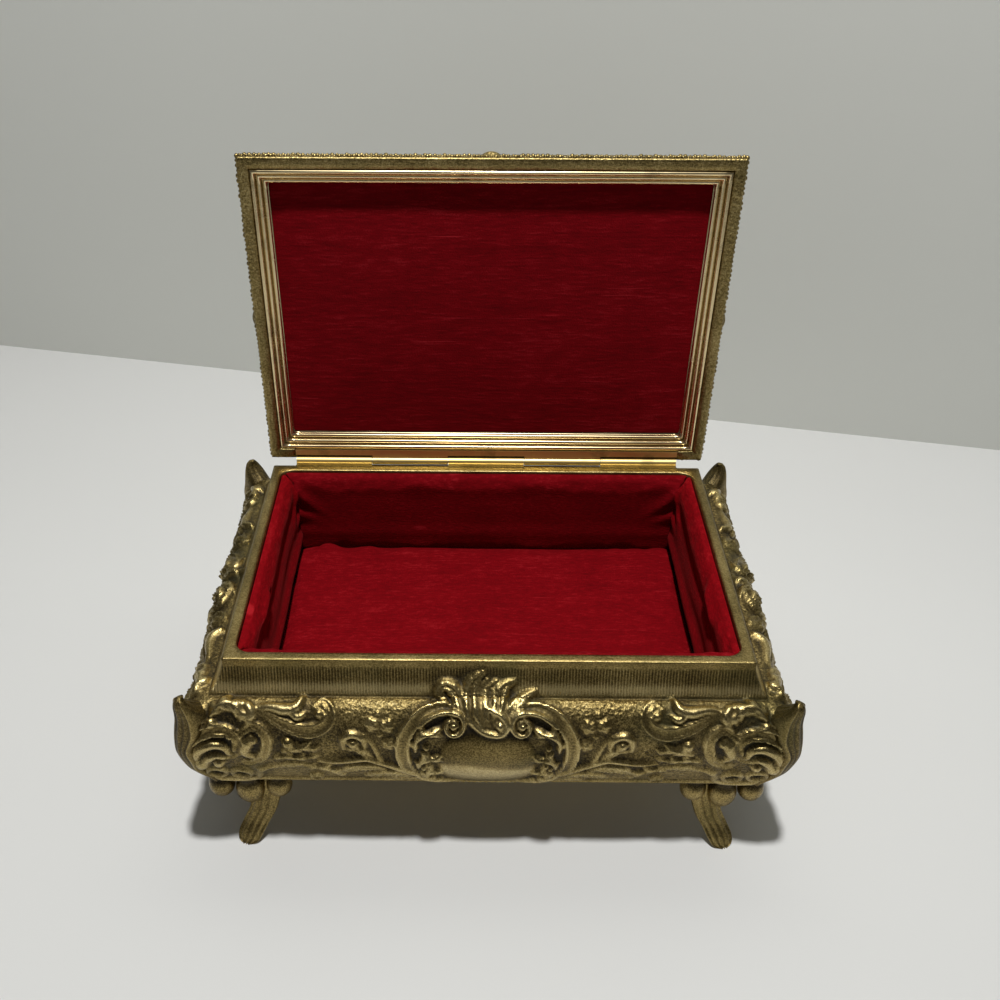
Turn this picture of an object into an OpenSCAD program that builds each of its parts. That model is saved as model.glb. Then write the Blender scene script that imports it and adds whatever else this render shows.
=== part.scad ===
// Footed keepsake casket: a cast, gilt metal casing with bombe sides stands on four splayed legs,
// a domed lid swings on a five-knuckle hinge, and padded velvet panels line the inside.
// The lid is drawn open, leaning back on its stop, with the table at z = 0.

/* [Casing] */
// Width of the casing across its flat rim
rim_w = 150; // [135:1:170]
// Depth of the casing across its flat rim
rim_d = 98; // [88:1:112]
// Height of the casing from its hem up to its rim
casing_h = 43.4; // [41:0.2:50]
// Thickness of the cast walls
wall_t = 2.4; // [1.8:0.1:3]
// Width of the flat rim around the opening
rim_band = 3.2; // [2.6:0.1:4]
// Depth of the solid rim band below its top
rim_t = 3; // [2.4:0.1:4]
// Corner radius of the opening
opening_r = 4.5; // [3:0.5:7]
// Height of the plain fillet above the cove
fillet_h = 1.4; // [1:0.1:2]
// Depth of the foot of the cove below the rim
cove_h = 10; // [8:0.2:12]
// How far the cove flares out past the rim
cove_out = 4.2; // [3:0.1:5]
// How far the cove hollows in from a straight slope
cove_hollow = 0.9; // [0.4:0.1:1.4]
// Depth of the widest line of the belly below the rim
belly_at = 25; // [22:0.5:28]
// How far the belly swells out past the rim
belly_out = 12.3; // [10:0.1:14]
// How far the hem stands out past the rim
hem_out = 7.6; // [6:0.1:9]
// Height of the plain band along the hem
hem_h = 1.8; // [1:0.1:2.6]

/* [Cast ornament] */
// How far a corner leaf stands proud of the mitre
leaf_proud = 2; // [1:0.1:3]
// Width of a corner leaf on each face
leaf_w = 7.5; // [5:0.5:10]
// Depth of the top of a corner leaf below the rim
leaf_top = 3.2; // [2.4:0.1:5]
// Width of the smooth plaque in the middle of the front and the back
plaque_w = 36; // [28:1:44]
// Height of the plaque
plaque_h = 17; // [13:0.5:20]
// How far the plaque stands proud of the belly
plaque_proud = 1.3; // [0.8:0.1:2]
// How far the scrolls and leaves stand proud of the casing
relief_proud = 1.5; // [0.8:0.1:1.8]
// How far the scrolls, leaves and boss stand proud of the lid
lid_relief = 1.3; // [0.8:0.1:1.6]
// Width of a scroll's band
scroll_w = 2.8; // [2:0.1:3.4]
// Radius of the two scrolls that frame the plaque
frame_r = 12.5; // [11:0.5:14]
// Radius of the scrolls in the middle of the two ends
end_frame_r = 8.6; // [7:0.2:9]
// Radius of the shell at each corner
shell_r = 8; // [7:0.5:9]
// Radius of a bud or berry
bud_r = 2; // [1.4:0.1:2.4]

/* [Feet] */
// Height of the feet below the hem
foot_h = 24.6; // [20:0.2:30]
// Distance of a foot's middle lobe in from the rim's end
foot_in = 2.6; // [0:0.2:5]
// Spacing of the three lobes of a foot's cuff
lobe_pitch = 8.8; // [8:0.1:9.6]
// Radius of a lobe
lobe_r = 3.8; // [3.2:0.1:4.2]
// How much lower the middle lobe hangs
middle_drop = 2.4; // [1:0.2:3]
// Thickness of a foot's seat under the casing
seat_t = 4; // [3.6:0.1:5]
// Width of a leg at its knee
leg_w = 9.8; // [8:0.2:11]
// Width of a leg at its sole
sole_w = 7.2; // [6:0.2:9]
// Length of a sole from heel to toe
sole_l = 4; // [3:0.1:5.5]
// How far a sole splays out sideways from its knee
splay_x = 7.8; // [5:0.2:9]
// How far a sole splays out past its knee towards the toe
splay_y = 6.6; // [4:0.2:8]
// Radius of a foot screw
screw_r = 1.45; // [1.2:0.05:1.8]
// Radius of a foot screw's head
screw_head_r = 2.8; // [2.3:0.1:3.2]
// Height of a foot screw's head
screw_head_h = 1.9; // [1.4:0.1:2.4]
// Radius of a screw boss inside the casing
boss_r = 4.6; // [4:0.1:5.4]
// Distance of a screw boss in from the rim's end and side
boss_in = 5; // [4:0.5:8]
// Thickness of the base plate
plate_t = 1; // [0.6:0.1:1.4]

/* [Hinge] */
// Angle that the open lid turns through to close
open_angle = 95; // [85:1:105]
// Length of the hinge
hinge_len = 134; // [110:1:138]
// Number of knuckles, an odd count
knuckles = 5; // [3:2:9]
// Radius of the hinge barrel
barrel_r = 1.4; // [1.2:0.05:1.6]
// Radius of the hinge pin
pin_r = 0.7; // [0.5:0.05:0.8]
// Radial running clearance of the pin
pin_fit = 0.05; // [0.03:0.01:0.09]
// Thickness of the hinge leaves
leaf_t = 0.6; // [0.4:0.05:0.8]
// Distance of the hinge axis behind the rim
axis_back = 1.9; // [1.8:0.05:2.4]
// Height of the hinge axis above the rim
axis_up = 0.9; // [0.8:0.05:1.2]
// Height of the hinge leaf on the back of the casing
body_leaf_h = 5.6; // [4.5:0.1:7]
// Radius of a rivet in the hinge leaf on the casing
rivet_r = 0.7; // [0.5:0.05:0.9]
// Number of rivets in each hinge leaf
rivet_count = 4; // [2:1:6]

/* [Lid] */
// How far the lid oversails the rim on every side
lid_over = 0.7; // [0.5:0.1:1.4]
// Gap between the closed lid and the rim
lid_gap = 0.3; // [0.2:0.05:0.5]
// Width of the cast edge around the underside
lid_edge = 3.4; // [3.2:0.1:4.2]
// Height of the upright edge band
lid_band_h = 3.4; // [3:0.1:4.5]
// Pitch of the scallops along the edge
scallop_pitch = 2.9; // [2.4:0.1:4]
// How far the scallops stand out
scallop_d = 0.45; // [0.2:0.05:0.6]
// How far the cusp in the middle of each side stands out
cusp_out = 1.2; // [0.6:0.1:1.8]
// Width of the sloping shoulder of the lid
lid_cove_w = 7; // [5:0.2:9]
// Height of the dome above the lid's edge
dome_h = 14.2; // [12:0.2:18]
// Thickness of the cast lid
lid_t = 1.8; // [1.4:0.1:2.2]
// Width of the stepped moulding around the lid's velvet
mould_w = 4.5; // [3.9:0.1:5.4]
// Depth of the velvet below the lid's edge
lid_velvet_in = 4.6; // [4:0.1:5]
// Sheet thickness of the stepped moulding
mould_t = 0.5; // [0.3:0.05:0.7]

/* [Lining] */
// Clearance between the lining and the cast rim
lining_fit = 0.15; // [0.1:0.05:0.3]
// Thickness of the cards behind the velvet
card_t = 1.1; // [0.8:0.1:1.5]
// Depth of the floor card's top below the rim
floor_at = 33.2; // [31:0.2:33.6]
// Thickness of the velvet panel at its rolled top
velvet_t = 1.6; // [1:0.1:2]
// How far the belly of a wall panel swells in past its top
velvet_swell = 1.2; // [0.6:0.1:1.8]
// Thickness of the floor pad at its edge
pad_t = 3.4; // [2.4:0.2:4.2]
// How far the floor pad crowns above its edge
pad_crown = 2; // [1:0.1:2.6]
// Gap around the floor pad
pad_gap = 0.5; // [0.3:0.1:1]
// Thickness of the lid's velvet at its edge
lid_pad_t = 0.5; // [0.4:0.05:0.6]
// How far the lid's velvet crowns out of its frame
lid_pad_crown = 0.9; // [0.5:0.1:1.5]

/* [Hidden] */
$fn = 48;
eps = 0.01;
// Small clearance where one rigid piece lies beside another
seat_gap = 0.3;

brass_cast = [0.58, 0.48, 0.27];
brass_bright = [0.83, 0.70, 0.42];
brass_leaf = [0.74, 0.58, 0.26];
steel = [0.62, 0.61, 0.58];
velvet_red = [0.52, 0.02, 0.05];
card_grey = [0.55, 0.50, 0.44];

half_w = rim_w / 2;
half_d = rim_d / 2;
rim_z = foot_h + casing_h;
hem_z = foot_h;
inner_half_w = half_w - rim_band;
inner_half_d = half_d - rim_band;

hinge_y = half_d + axis_back;
hinge_z = rim_z + axis_up;
knuckle_len = hinge_len / knuckles;
knuckle_gap = 0.2;
sweep_gap = 0.25;

lid_half_w = half_w + lid_over;
lid_half_d = half_d + lid_over;
lid_leaf_y0 = lid_half_d - lid_edge + seat_gap;
lid_leaf_y1 = half_d - seat_gap - 0.1;
lid_rivet_r = 0.7 * rivet_r;
mould_in = lid_edge + mould_w;
lid_card_z = lid_velvet_in + lid_pad_t;
lid_card_t = 0.7 * card_t;
lid_hollow_z = lid_card_z + lid_card_t + 0.1;
dome_foot_h = lid_hollow_z + 0.9 * lid_t;

// The middle of the whole open box from front to back is moved to y = 0
front_reach = half_d + belly_out + max(leaf_proud, relief_proud);
rear_reach = max([for (q = lid_profile())
    lid_point_y(q[0] - lid_half_d, q[1] + (q[1] > dome_foot_h ? lid_relief : 0))]);
centre_y = (rear_reach - front_reach) / 2;

function lid_point_y(y, z) =
    hinge_y + (y - hinge_y) * cos(-open_angle) - (z + lid_gap - axis_up) * sin(-open_angle);

// Points on an arc from a to b that bows to one side by the given rise
function bowed(a, b, rise, steps) = [
    for (i = [0:steps])
        let (t = i / steps, n = [b[1] - a[1], a[0] - b[0]] / norm(b - a))
        a + (b - a) * t + n * rise * 4 * t * (1 - t)
];

// Outline of the casing's wall as [out past the rim, depth below the rim]
function wall_line() = concat(
    [[0, 0]],
    bowed([0, fillet_h], [cove_out, cove_h], -cove_hollow, 6),
    [for (i = [0:9])
        let (a = i * 10)
        [cove_out + 0.4 + (belly_out - cove_out - 0.4) * sin(a),
         belly_at - (belly_at - cove_h - 0.4) * cos(a)]],
    [for (i = [1:7])
        let (t = i / 7)
        [belly_out - (belly_out - hem_out) * t * t,
         belly_at + (casing_h - hem_h - belly_at) * t]],
    [[hem_out, casing_h]]
);

// How far the wall stands out past the rim at a depth below the rim
function wall_out(depth) = lookup(depth, [for (q = wall_line()) [q[1], q[0]]]);

// A profile of [out, height] pairs closed on both sides of the middle
function both_sides(line, half) = concat(
    [for (q = line) [half + q[0], q[1]]],
    [for (i = [len(line) - 1:-1:0]) [-half - line[i][0], line[i][1]]]
);

// A solid whose four sides follow one profile and meet at mitred corners
module mitred(line, half_x, half_y) {
    intersection() {
        rotate([90, 0, 90])
            linear_extrude(height = 4 * half_x, center = true)
                polygon(both_sides(line, half_y));
        rotate([90, 0, 0])
            linear_extrude(height = 4 * half_y, center = true)
                polygon(both_sides(line, half_x));
    }
}

module rounded_prism(half_x, half_y, r, z0, z1) {
    translate([0, 0, z0])
        linear_extrude(height = z1 - z0)
            union() {
                square([2 * half_x, 2 * (half_y - r)], center = true);
                square([2 * (half_x - r), 2 * half_y], center = true);
                for (sx = [-1, 1])
                    for (sy = [-1, 1])
                        translate([sx * (half_x - r), sy * (half_y - r)])
                            circle(r);
            }
}

// Places a piece built in the first quadrant at one of the four corners
module corner(sx, sy) {
    mirror([sx < 0 ? 1 : 0, 0, 0])
        mirror([0, sy < 0 ? 1 : 0, 0])
            children();
}

// Everything of the casing is built about the middle of its rim, then moved to the shared frame
module placed() {
    translate([0, -centre_y, 0])
        children();
}

// The lid is built closed, with its edge plane at z = 0, then swung open about the hinge
module lid_placed() {
    placed()
        translate([0, hinge_y, hinge_z])
            rotate([-open_angle, 0, 0])
                translate([0, -hinge_y, lid_gap - axis_up])
                    children();
}

// Rows of a corner leaf from its curled tip down to the hem, as [out on the mitre, width, height]
function leaf_rows() = concat(
    [for (q = [
        [0, 0.53, 0.30], [0.07, 0.74, 0.86], [0.17, 0.82, 1.32], [0.27, 0.85, 1.22],
        [0.40, 0.88, 1.08], [0.58, 0.94, 1], [0.78, 0.99, 1], [1, 1, 1]
    ])
        [q[1] * (belly_out + leaf_proud), q[2] * leaf_w, -leaf_top - q[0] * (belly_at - leaf_top)]],
    [for (i = [1:5])
        let (t = i / 5, d = belly_at + t * (casing_h - 0.4 - belly_at))
        [wall_out(d) + leaf_proud * (1 - 0.4 * t), leaf_w * (1 - 0.4 * t * t), -d]]
);

// A leaf that wraps round the mitre: two outlines cross at the corner and a third dulls the arris
module corner_leaf() {
    rows = leaf_rows();
    last = len(rows) - 1;
    reach = 2 * (belly_out + leaf_proud) + leaf_w;
    blunt = 0.24 * leaf_w;
    band = concat(
        [for (q = rows) [q[0], q[2]]],
        [for (i = [last:-1:0]) [rows[i][0] - rows[i][1], rows[i][2]]]
    );
    arris = concat(
        [for (q = rows) [q[0] * sqrt(2) - blunt, q[2]]],
        [[-reach, rows[last][2]], [-reach, rows[0][2]]]
    );
    translate([half_w, half_d, rim_z])
        intersection() {
            rotate([90, 0, 0])
                linear_extrude(height = 2 * reach, center = true)
                    polygon(band);
            rotate([90, 0, 90])
                linear_extrude(height = 2 * reach, center = true)
                    polygon(band);
            rotate([90, 0, 45])
                linear_extrude(height = 2 * reach, center = true)
                    polygon(arris);
        }
}

module plaque() {
    depth = belly_at + 5;
    swell = 5;
    translate([0, -half_d - wall_out(depth) - plaque_proud + swell, rim_z - depth])
        scale([plaque_w / 2, swell, plaque_h / 2])
            sphere(1);
}

// A band along an arc that tapers at both ends, given as [across, depth, radius, from angle, to angle]
module scroll(q, w = scroll_w) {
    steps = max(4, round(abs(q[4] - q[3]) / 30));
    side = function (s) [
        for (i = [0:steps])
            let (t = i / steps, a = q[3] + (q[4] - q[3]) * t, half = w * (0.25 + 0.25 * sin(180 * t)))
            [q[0], -q[1]] + (q[2] + s * half) * [cos(a), sin(a)]
    ];
    inner = side(-1);
    polygon(concat(side(1), [for (i = [steps:-1:0]) inner[i]]));
}

// A pointed leaf from one tip to the other, each given as [across, depth]
module leaf_shape(a, b, w) {
    steps = 3;
    span = [b[0] - a[0], a[1] - b[1]];
    across = [-span[1], span[0]] / norm(span) * w / 2;
    polygon(concat(
        [for (i = [0:steps]) [a[0], -a[1]] + span * i / steps + across * sin(180 * i / steps)],
        [for (i = [steps - 1:-1:1]) [a[0], -a[1]] + span * i / steps - across * sin(180 * i / steps)]
    ));
}

module bud(x, depth, r = bud_r) {
    translate([x, -depth])
        circle(r, $fn = 10);
}

// Half of the scrolled frame round the plaque
module frame_half(r) {
    middle = belly_at - 1;
    scroll([r, middle, r, -55, 95]);
    bud(0.77 * r, middle - 0.82 * r, 0.2 * r);
    leaf_shape([1.08 * r, middle - 0.56 * r], [1.6 * r, middle - 0.16 * r], 0.28 * r);
    leaf_shape([1.12 * r, middle + 0.26 * r], [1.64 * r, middle + 0.54 * r], 0.26 * r);
    leaf_shape([0.5 * r, middle + 1.34 * r], [1.6 * r, middle + r], 0.2 * r);
}

// The spray of leaves over the plaque, which leans to one side
module crest() {
    root = belly_at - 9.5;
    leaf_shape([0.5, root + 0.5], [-2.2, root - 12], 4.4);
    leaf_shape([1, root - 0.5], [7.6, root - 9.3], 3.4);
    leaf_shape([1, root], [13, root - 6.6], 3.2);
    leaf_shape([-2, root - 1.5], [-13.6, root - 7], 3.4);
    bud(-10, root - 7.2);
}

// Scrolls, leaves and shell beside a corner, measured from the rim's end
module corner_group() {
    scroll([-28.2, 12.9, 3.1, 20, 290], 0.7 * scroll_w);
    leaf_shape([-28, 16.3], [-8, 11.8], 3);
    leaf_shape([-25, 12.2], [-9, 10.6], 2.2);
    leaf_shape([-8.4, 14.8], [1.6, 9.8], 4);
    bud(4.6, 12.8);
    scroll([-8.6, 19.6, 3.1, -60, 230], 0.8 * scroll_w);
    scroll([4.8, belly_at + 1.5, shell_r, 70, 250], 0.85 * scroll_w);
    bud(5.6, belly_at + 2, 0.45 * shell_r);
    scroll([-2.2, 36.4, 2.5, 20, 320], 0.6 * scroll_w);
    bud(5.4, 34.8);
    leaf_shape([-13.4, 31.4], [-5.6, 37.6], 2.4);
}

// Buds and the leafy edge between a corner and the plaque's frame, measured from the middle
module spray() {
    bud(56.4, 20.6);
    leaf_shape([54.6, 23.2], [46.6, 24.6], 3.2);
    bud(38.6, 20, 1.1 * bud_r);
    for (q = [[32.8, 14.4], [29.4, 17], [33, 18.6]])
        bud(q[0], q[1], 0.8 * bud_r);
    leaf_shape([52.6, 28.8], [39, 25.6], 2.2);
    leaf_shape([40.4, 25.4], [22, 38.4], 2.6);
    for (q = [[46.8, 29.4, -2.6], [40, 30.6, -1.8], [33.2, 34, -3.4]])
        leaf_shape([q[0], q[1]], [q[0] + q[2], q[1] + 7.4], 2.8);
}

module long_side_relief() {
    crest();
    for (sx = [0, 1])
        mirror([sx, 0]) {
            frame_half(frame_r);
            spray();
            translate([half_w, 0])
                corner_group();
        }
}

module end_relief() {
    leaf_shape([0, belly_at - 7.5], [0, belly_at - 17.5], 3.6);
    for (sx = [0, 1])
        mirror([sx, 0]) {
            frame_half(end_frame_r);
            bud(22, 21.5);
            leaf_shape([27, 28.8], [19, 36], 3);
            translate([half_d, 0])
                corner_group();
        }
}

// The relief's outlines are cut through a skin that stands proud of the casing all round
module cast_relief() {
    wall = wall_line();
    last = len(wall) - 1;
    skin = [for (i = [0:last]) if (i % 2 == 0 || i == last) [wall[i][0] + relief_proud, rim_z - wall[i][1]]];
    intersection() {
        mitred(skin, half_w, half_d);
        translate([0, 0, rim_z])
            union()
                for (turn = [0, 180]) {
                    rotate([90, 0, turn])
                        translate([0, 0, half_d])
                            linear_extrude(height = belly_out + leaf_proud)
                                long_side_relief();
                    rotate([90, 0, turn + 90])
                        translate([0, 0, half_w])
                            linear_extrude(height = belly_out + leaf_proud)
                                end_relief();
                }
    }
}

module screw_boss(r, z0, z1) {
    for (sx = [-1, 1])
        for (sy = [-1, 1])
            translate([sx * (half_w - boss_in), sy * (half_d - boss_in), z0])
                cylinder(r = r, h = z1 - z0);
}

module boss_webs() {
    reach = belly_out + boss_in;
    intersection() {
        for (sx = [-1, 1])
            for (sy = [-1, 1])
                corner(sx, sy)
                    translate([half_w - boss_in, half_d - boss_in, hem_z + plate_t]) {
                        translate([0, -wall_t / 2, 0])
                            cube([reach, wall_t, boss_top - hem_z - plate_t]);
                        translate([-wall_t / 2, 0, 0])
                            cube([wall_t, reach, boss_top - hem_z - plate_t]);
                    }
        mitred([for (q = wall_line()) [q[0] - wall_t / 2, rim_z - q[1]]], half_w, half_d);
    }
}

boss_top = rim_z - floor_at - card_t;
screw_tip = hem_z - seat_t + 0.6;

module body_shell() {
    outer = [for (q = wall_line()) [q[0], rim_z - q[1]]];
    cavity = concat(
        [for (i = [0:20])
            let (d = rim_t + (casing_h - rim_t) * i / 20)
            [wall_out(d) - wall_t, rim_z - d]],
        [[hem_out - wall_t, hem_z - 1]]
    );
    color(brass_cast)
        placed()
            difference() {
                union() {
                    difference() {
                        union() {
                            mitred(outer, half_w, half_d);
                            cast_relief();
                            for (sx = [-1, 1])
                                for (sy = [-1, 1])
                                    corner(sx, sy)
                                        corner_leaf();
                            plaque();
                            mirror([0, 1, 0])
                                plaque();
                        }
                        mitred(cavity, half_w, half_d);
                        rounded_prism(inner_half_w, inner_half_d, opening_r, rim_z - rim_t - 2, rim_z + 1);
                    }
                    boss_webs();
                    screw_boss(boss_r, hem_z + plate_t, boss_top);
                }
                screw_boss(screw_r + 0.25, hem_z, boss_top + 1);
                screw_boss(screw_head_r + 0.25, boss_top - screw_head_h - 0.02, boss_top + 1);
                translate([-hinge_len / 2 - seat_gap, half_d, rim_z - body_leaf_h - seat_gap])
                    cube([hinge_len + 2 * seat_gap, belly_out, body_leaf_h + 2]);
                rivets(rivet_r + 0.02, half_d - rivet_bite, half_d + 1);
            }
}

module base_plate() {
    fit = wall_t + seat_gap;
    color(brass_bright)
        placed()
            difference() {
                rounded_prism(half_w + hem_out - fit, half_d + hem_out - fit, 2, hem_z, hem_z + plate_t);
                screw_boss(screw_r + 0.25, hem_z - 1, hem_z + plate_t + 1);
            }
}

// Outline of a leg seen from the front, as [along the side, height]
function leg_front(knee, x0, rib_from, rib_to) =
    let (
        edge = function (t, s)
            x0 + splay_x * pow(t, 1.3) + s * (leg_w + (sole_w - leg_w) * sin(90 * t)) / 2,
        steps = 8
    )
    concat(
        [for (i = [0:steps]) [edge(i / steps, rib_to), knee * (1 - i / steps)]],
        [for (i = [steps:-1:0]) [edge(i / steps, rib_from), knee * (1 - i / steps)]]
    );

// Outline of a leg seen from the side, as [out past the rim, height]
function leg_side(knee, proud) =
    let (
        front = function (t) 5.8 + proud + splay_y * pow(t, 1.5),
        thick = function (t) 5.2 - (5.2 - sole_l) * t,
        steps = 8
    )
    concat(
        [for (i = [0:steps]) [half_d + front(i / steps), knee * (1 - i / steps)]],
        [for (i = [steps:-1:0])
            [half_d + front(i / steps) - proud - thick(i / steps), knee * (1 - i / steps)]]
    );

module leg_part(knee, x0, rib_from, rib_to, proud) {
    reach = 2 * leg_w;
    intersection() {
        translate([0, half_d + reach, 0])
            rotate([90, 0, 0])
                linear_extrude(height = 2 * reach)
                    polygon(leg_front(knee, x0, rib_from, rib_to));
        translate([x0 - reach, 0, 0])
            rotate([90, 0, 90])
                linear_extrude(height = 2 * reach)
                    polygon(leg_side(knee, proud));
    }
}

module foot_solid() {
    mid = half_w - foot_in;
    knee = hem_z - seat_t / 2;
    leg_x = mid - 0.75 * lobe_pitch;
    lobe_out = lobe_r - 0.1;
    drop = lobe_r - 0.2;
    difference() {
        union() {
            intersection() {
                union() {
                    for (i = [-1, 0, 1])
                        let (low = drop + (i == 0 ? middle_drop : 0))
                            translate([mid + i * lobe_pitch, half_d + lobe_out, hem_z - low])
                                sphere(lobe_r);
                    translate([mid - lobe_pitch, half_d - boss_in, hem_z - seat_t])
                        cube([2 * lobe_pitch, boss_in + lobe_out, seat_t]);
                    translate([half_w - boss_in, half_d - boss_in, hem_z - seat_t])
                        cylinder(r = boss_r, h = seat_t);
                }
                cube([2 * half_w, 2 * half_d, hem_z]);
            }
            leg_part(knee, leg_x, -1, 1, 0);
            for (i = [-1, 0, 1])
                leg_part(knee, leg_x, i * 0.62 - 0.22, i * 0.62 + 0.22, 0.7);
        }
        translate([half_w - boss_in, half_d - boss_in, screw_tip - 0.2])
            cylinder(r = screw_r + 0.05, h = seat_t);
    }
}

module foot(sx, sy) {
    color(brass_cast)
        placed()
            corner(sx, sy)
                foot_solid();
}

module foot_screws() {
    color(steel)
        placed() {
            screw_boss(screw_r, screw_tip, boss_top - screw_head_h + 0.5);
            difference() {
                screw_boss(screw_head_r, boss_top - screw_head_h, boss_top - 0.1);
                for (sx = [-1, 1])
                    for (sy = [-1, 1])
                        translate([sx * (half_w - boss_in), sy * (half_d - boss_in), boss_top - 0.5])
                            cube([2 * screw_head_r + 1, 0.7, 1], center = true);
            }
        }
}

// Knuckles with an even index belong to the casing, odd ones to the lid
module knuckle(i) {
    translate([-hinge_len / 2 + i * knuckle_len + knuckle_gap / 2, hinge_y, hinge_z])
        rotate([0, 90, 0])
            cylinder(r = barrel_r, h = knuckle_len - knuckle_gap);
}

module pin_bore() {
    translate([-hinge_len / 2 - 1, hinge_y, hinge_z])
        rotate([0, 90, 0])
            cylinder(r = pin_r + pin_fit, h = hinge_len + 2);
}

function rivet_x(i) = (i - (rivet_count - 1) / 2) * hinge_len / rivet_count;

rivet_z = rim_z - 0.72 * rim_t;
rivet_bite = 2.3;

// Shanks that run forwards from the back of the casing's hinge leaf into the rim
module rivets(r, y0, y1) {
    for (i = [0:rivet_count - 1])
        translate([rivet_x(i), y1, rivet_z])
            rotate([90, 0, 0])
                cylinder(r = r, h = y1 - y0);
}

// Shanks that run up from the lid's hinge leaf into its cast edge
module lid_rivets(r, z0, z1) {
    for (i = [0:rivet_count - 1])
        translate([rivet_x(i), (lid_leaf_y0 + lid_leaf_y1) / 2, z0])
            cylinder(r = r, h = z1 - z0);
}

module hinge_body_leaf() {
    color(brass_leaf)
        placed()
            difference() {
                union() {
                    translate([-hinge_len / 2, half_d, rim_z - body_leaf_h])
                        cube([hinge_len, leaf_t, body_leaf_h - seat_gap]);
                    for (i = [0:2:knuckles - 1]) {
                        knuckle(i);
                        translate([-hinge_len / 2 + i * knuckle_len + knuckle_gap / 2, half_d, rim_z - 1])
                            cube([knuckle_len - knuckle_gap, leaf_t, 1 + axis_up]);
                    }
                }
                pin_bore();
                rivets(rivet_r + 0.02, half_d - 1, half_d + leaf_t + 1);
            }
}

module hinge_body_rivets() {
    color(brass_leaf)
        placed() {
            rivets(rivet_r, half_d - rivet_bite + 0.1, half_d + leaf_t + 0.1);
            for (i = [0:rivet_count - 1])
                translate([rivet_x(i), half_d + leaf_t, rivet_z])
                    rotate([-90, 0, 0])
                        cylinder(r1 = rivet_r * 1.7, r2 = rivet_r, h = 0.4);
        }
}

module hinge_pin() {
    color(steel)
        placed()
            translate([-hinge_len / 2 + 0.2, hinge_y, hinge_z])
                rotate([0, 90, 0])
                    cylinder(r = pin_r, h = hinge_len - 0.4);
}

// The lid's leaf lies in a rebate of the cast edge, flush with the edge plane
module hinge_lid_leaf() {
    color(brass_leaf)
        lid_placed()
            difference() {
                union() {
                    translate([-hinge_len / 2, lid_leaf_y0, 0])
                        cube([hinge_len, lid_leaf_y1 - lid_leaf_y0, leaf_t]);
                    for (i = [1:2:knuckles - 1]) {
                        translate([0, 0, -rim_z - lid_gap])
                            knuckle(i);
                        translate([-hinge_len / 2 + i * knuckle_len + knuckle_gap / 2, lid_leaf_y0, 0])
                            cube([knuckle_len - knuckle_gap, hinge_y - lid_leaf_y0 - pin_r, leaf_t]);
                    }
                }
                translate([0, 0, -rim_z - lid_gap])
                    pin_bore();
                lid_rivets(lid_rivet_r + 0.02, -1, leaf_t + 1);
            }
}

module hinge_lid_rivets() {
    color(brass_leaf)
        lid_placed()
            lid_rivets(lid_rivet_r, 0.03, rivet_bite);
}

// Outline of the lid's top as [in from the edge, height above the edge plane]
function lid_profile() = concat(
    [[0, 0], [0, lid_band_h]],
    bowed([1.2, lid_band_h + 0.5], [lid_cove_w, dome_foot_h], 0.4, 4),
    [for (i = [1:10])
        let (t = i / 10)
        [lid_cove_w + 0.6 + (lid_half_d - lid_cove_w - 0.6) * t,
         dome_foot_h + 0.8 + (dome_h - dome_foot_h - 0.8) * sin(90 * t)]]
);

// The lid's scalloped outline: small lobes all round and a larger cusp in the middle of each side
function scalloped_side(half) =
    let (n = max(4, round(2 * half / scallop_pitch)))
    [for (i = [0:4 * n - 1])
        let (
            t = i / (4 * n),
            x = -half + 2 * half * t,
            lobe = scallop_d * abs(sin(180 * n * t)),
            cusp = cusp_out * max(0, 1 - abs(x) / 3.6)
        )
        [x, lobe + cusp]
    ];

module scalloped_plate(z0, z1) {
    front = scalloped_side(lid_half_w);
    side = scalloped_side(lid_half_d);
    translate([0, 0, z0])
        linear_extrude(height = z1 - z0)
            polygon(concat(
                [for (q = front) [q[0], -lid_half_d - q[1]]],
                [for (q = side) [lid_half_w + q[1], q[0]]],
                [for (q = front) [-q[0], lid_half_d + q[1]]],
                [for (q = side) [-lid_half_w - q[1], -q[0]]]
            ));
}

// One quarter of the ornament on the lid, seen from above
module lid_quarter() {
    scroll([8.3, 1.5, 17, 0, 90]);
    bud(27.6, -6, 3);
    scroll([41.5, -2.6, 8.6, 10, 165], 0.9 * scroll_w);
    leaf_shape([28, -12], [50, -19], 5);
    leaf_shape([11, -20], [33, -26], 4.8);
    leaf_shape([73, -47], [52, -27], 6.4);
    leaf_shape([60.6, -15], [60.6, 2], 3.2);
    bud(38.6, -29.4, 2.8);
    leaf_shape([0, -16], [0, -31], 6);
}

module lid_ornament() {
    intersection() {
        mitred([for (q = lid_profile()) [-q[0], q[1] + lid_relief]], lid_half_w, lid_half_d);
        translate([0, 0, lid_band_h])
            linear_extrude(height = dome_h)
                for (sx = [0, 1])
                    for (sy = [0, 1])
                        mirror([sx, 0])
                            mirror([0, sy])
                                lid_quarter();
    }
    translate([0, 0, dome_h - lid_relief])
        scale([plaque_w / 2, plaque_w / 3, 2 * lid_relief])
            sphere(1);
}

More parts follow.
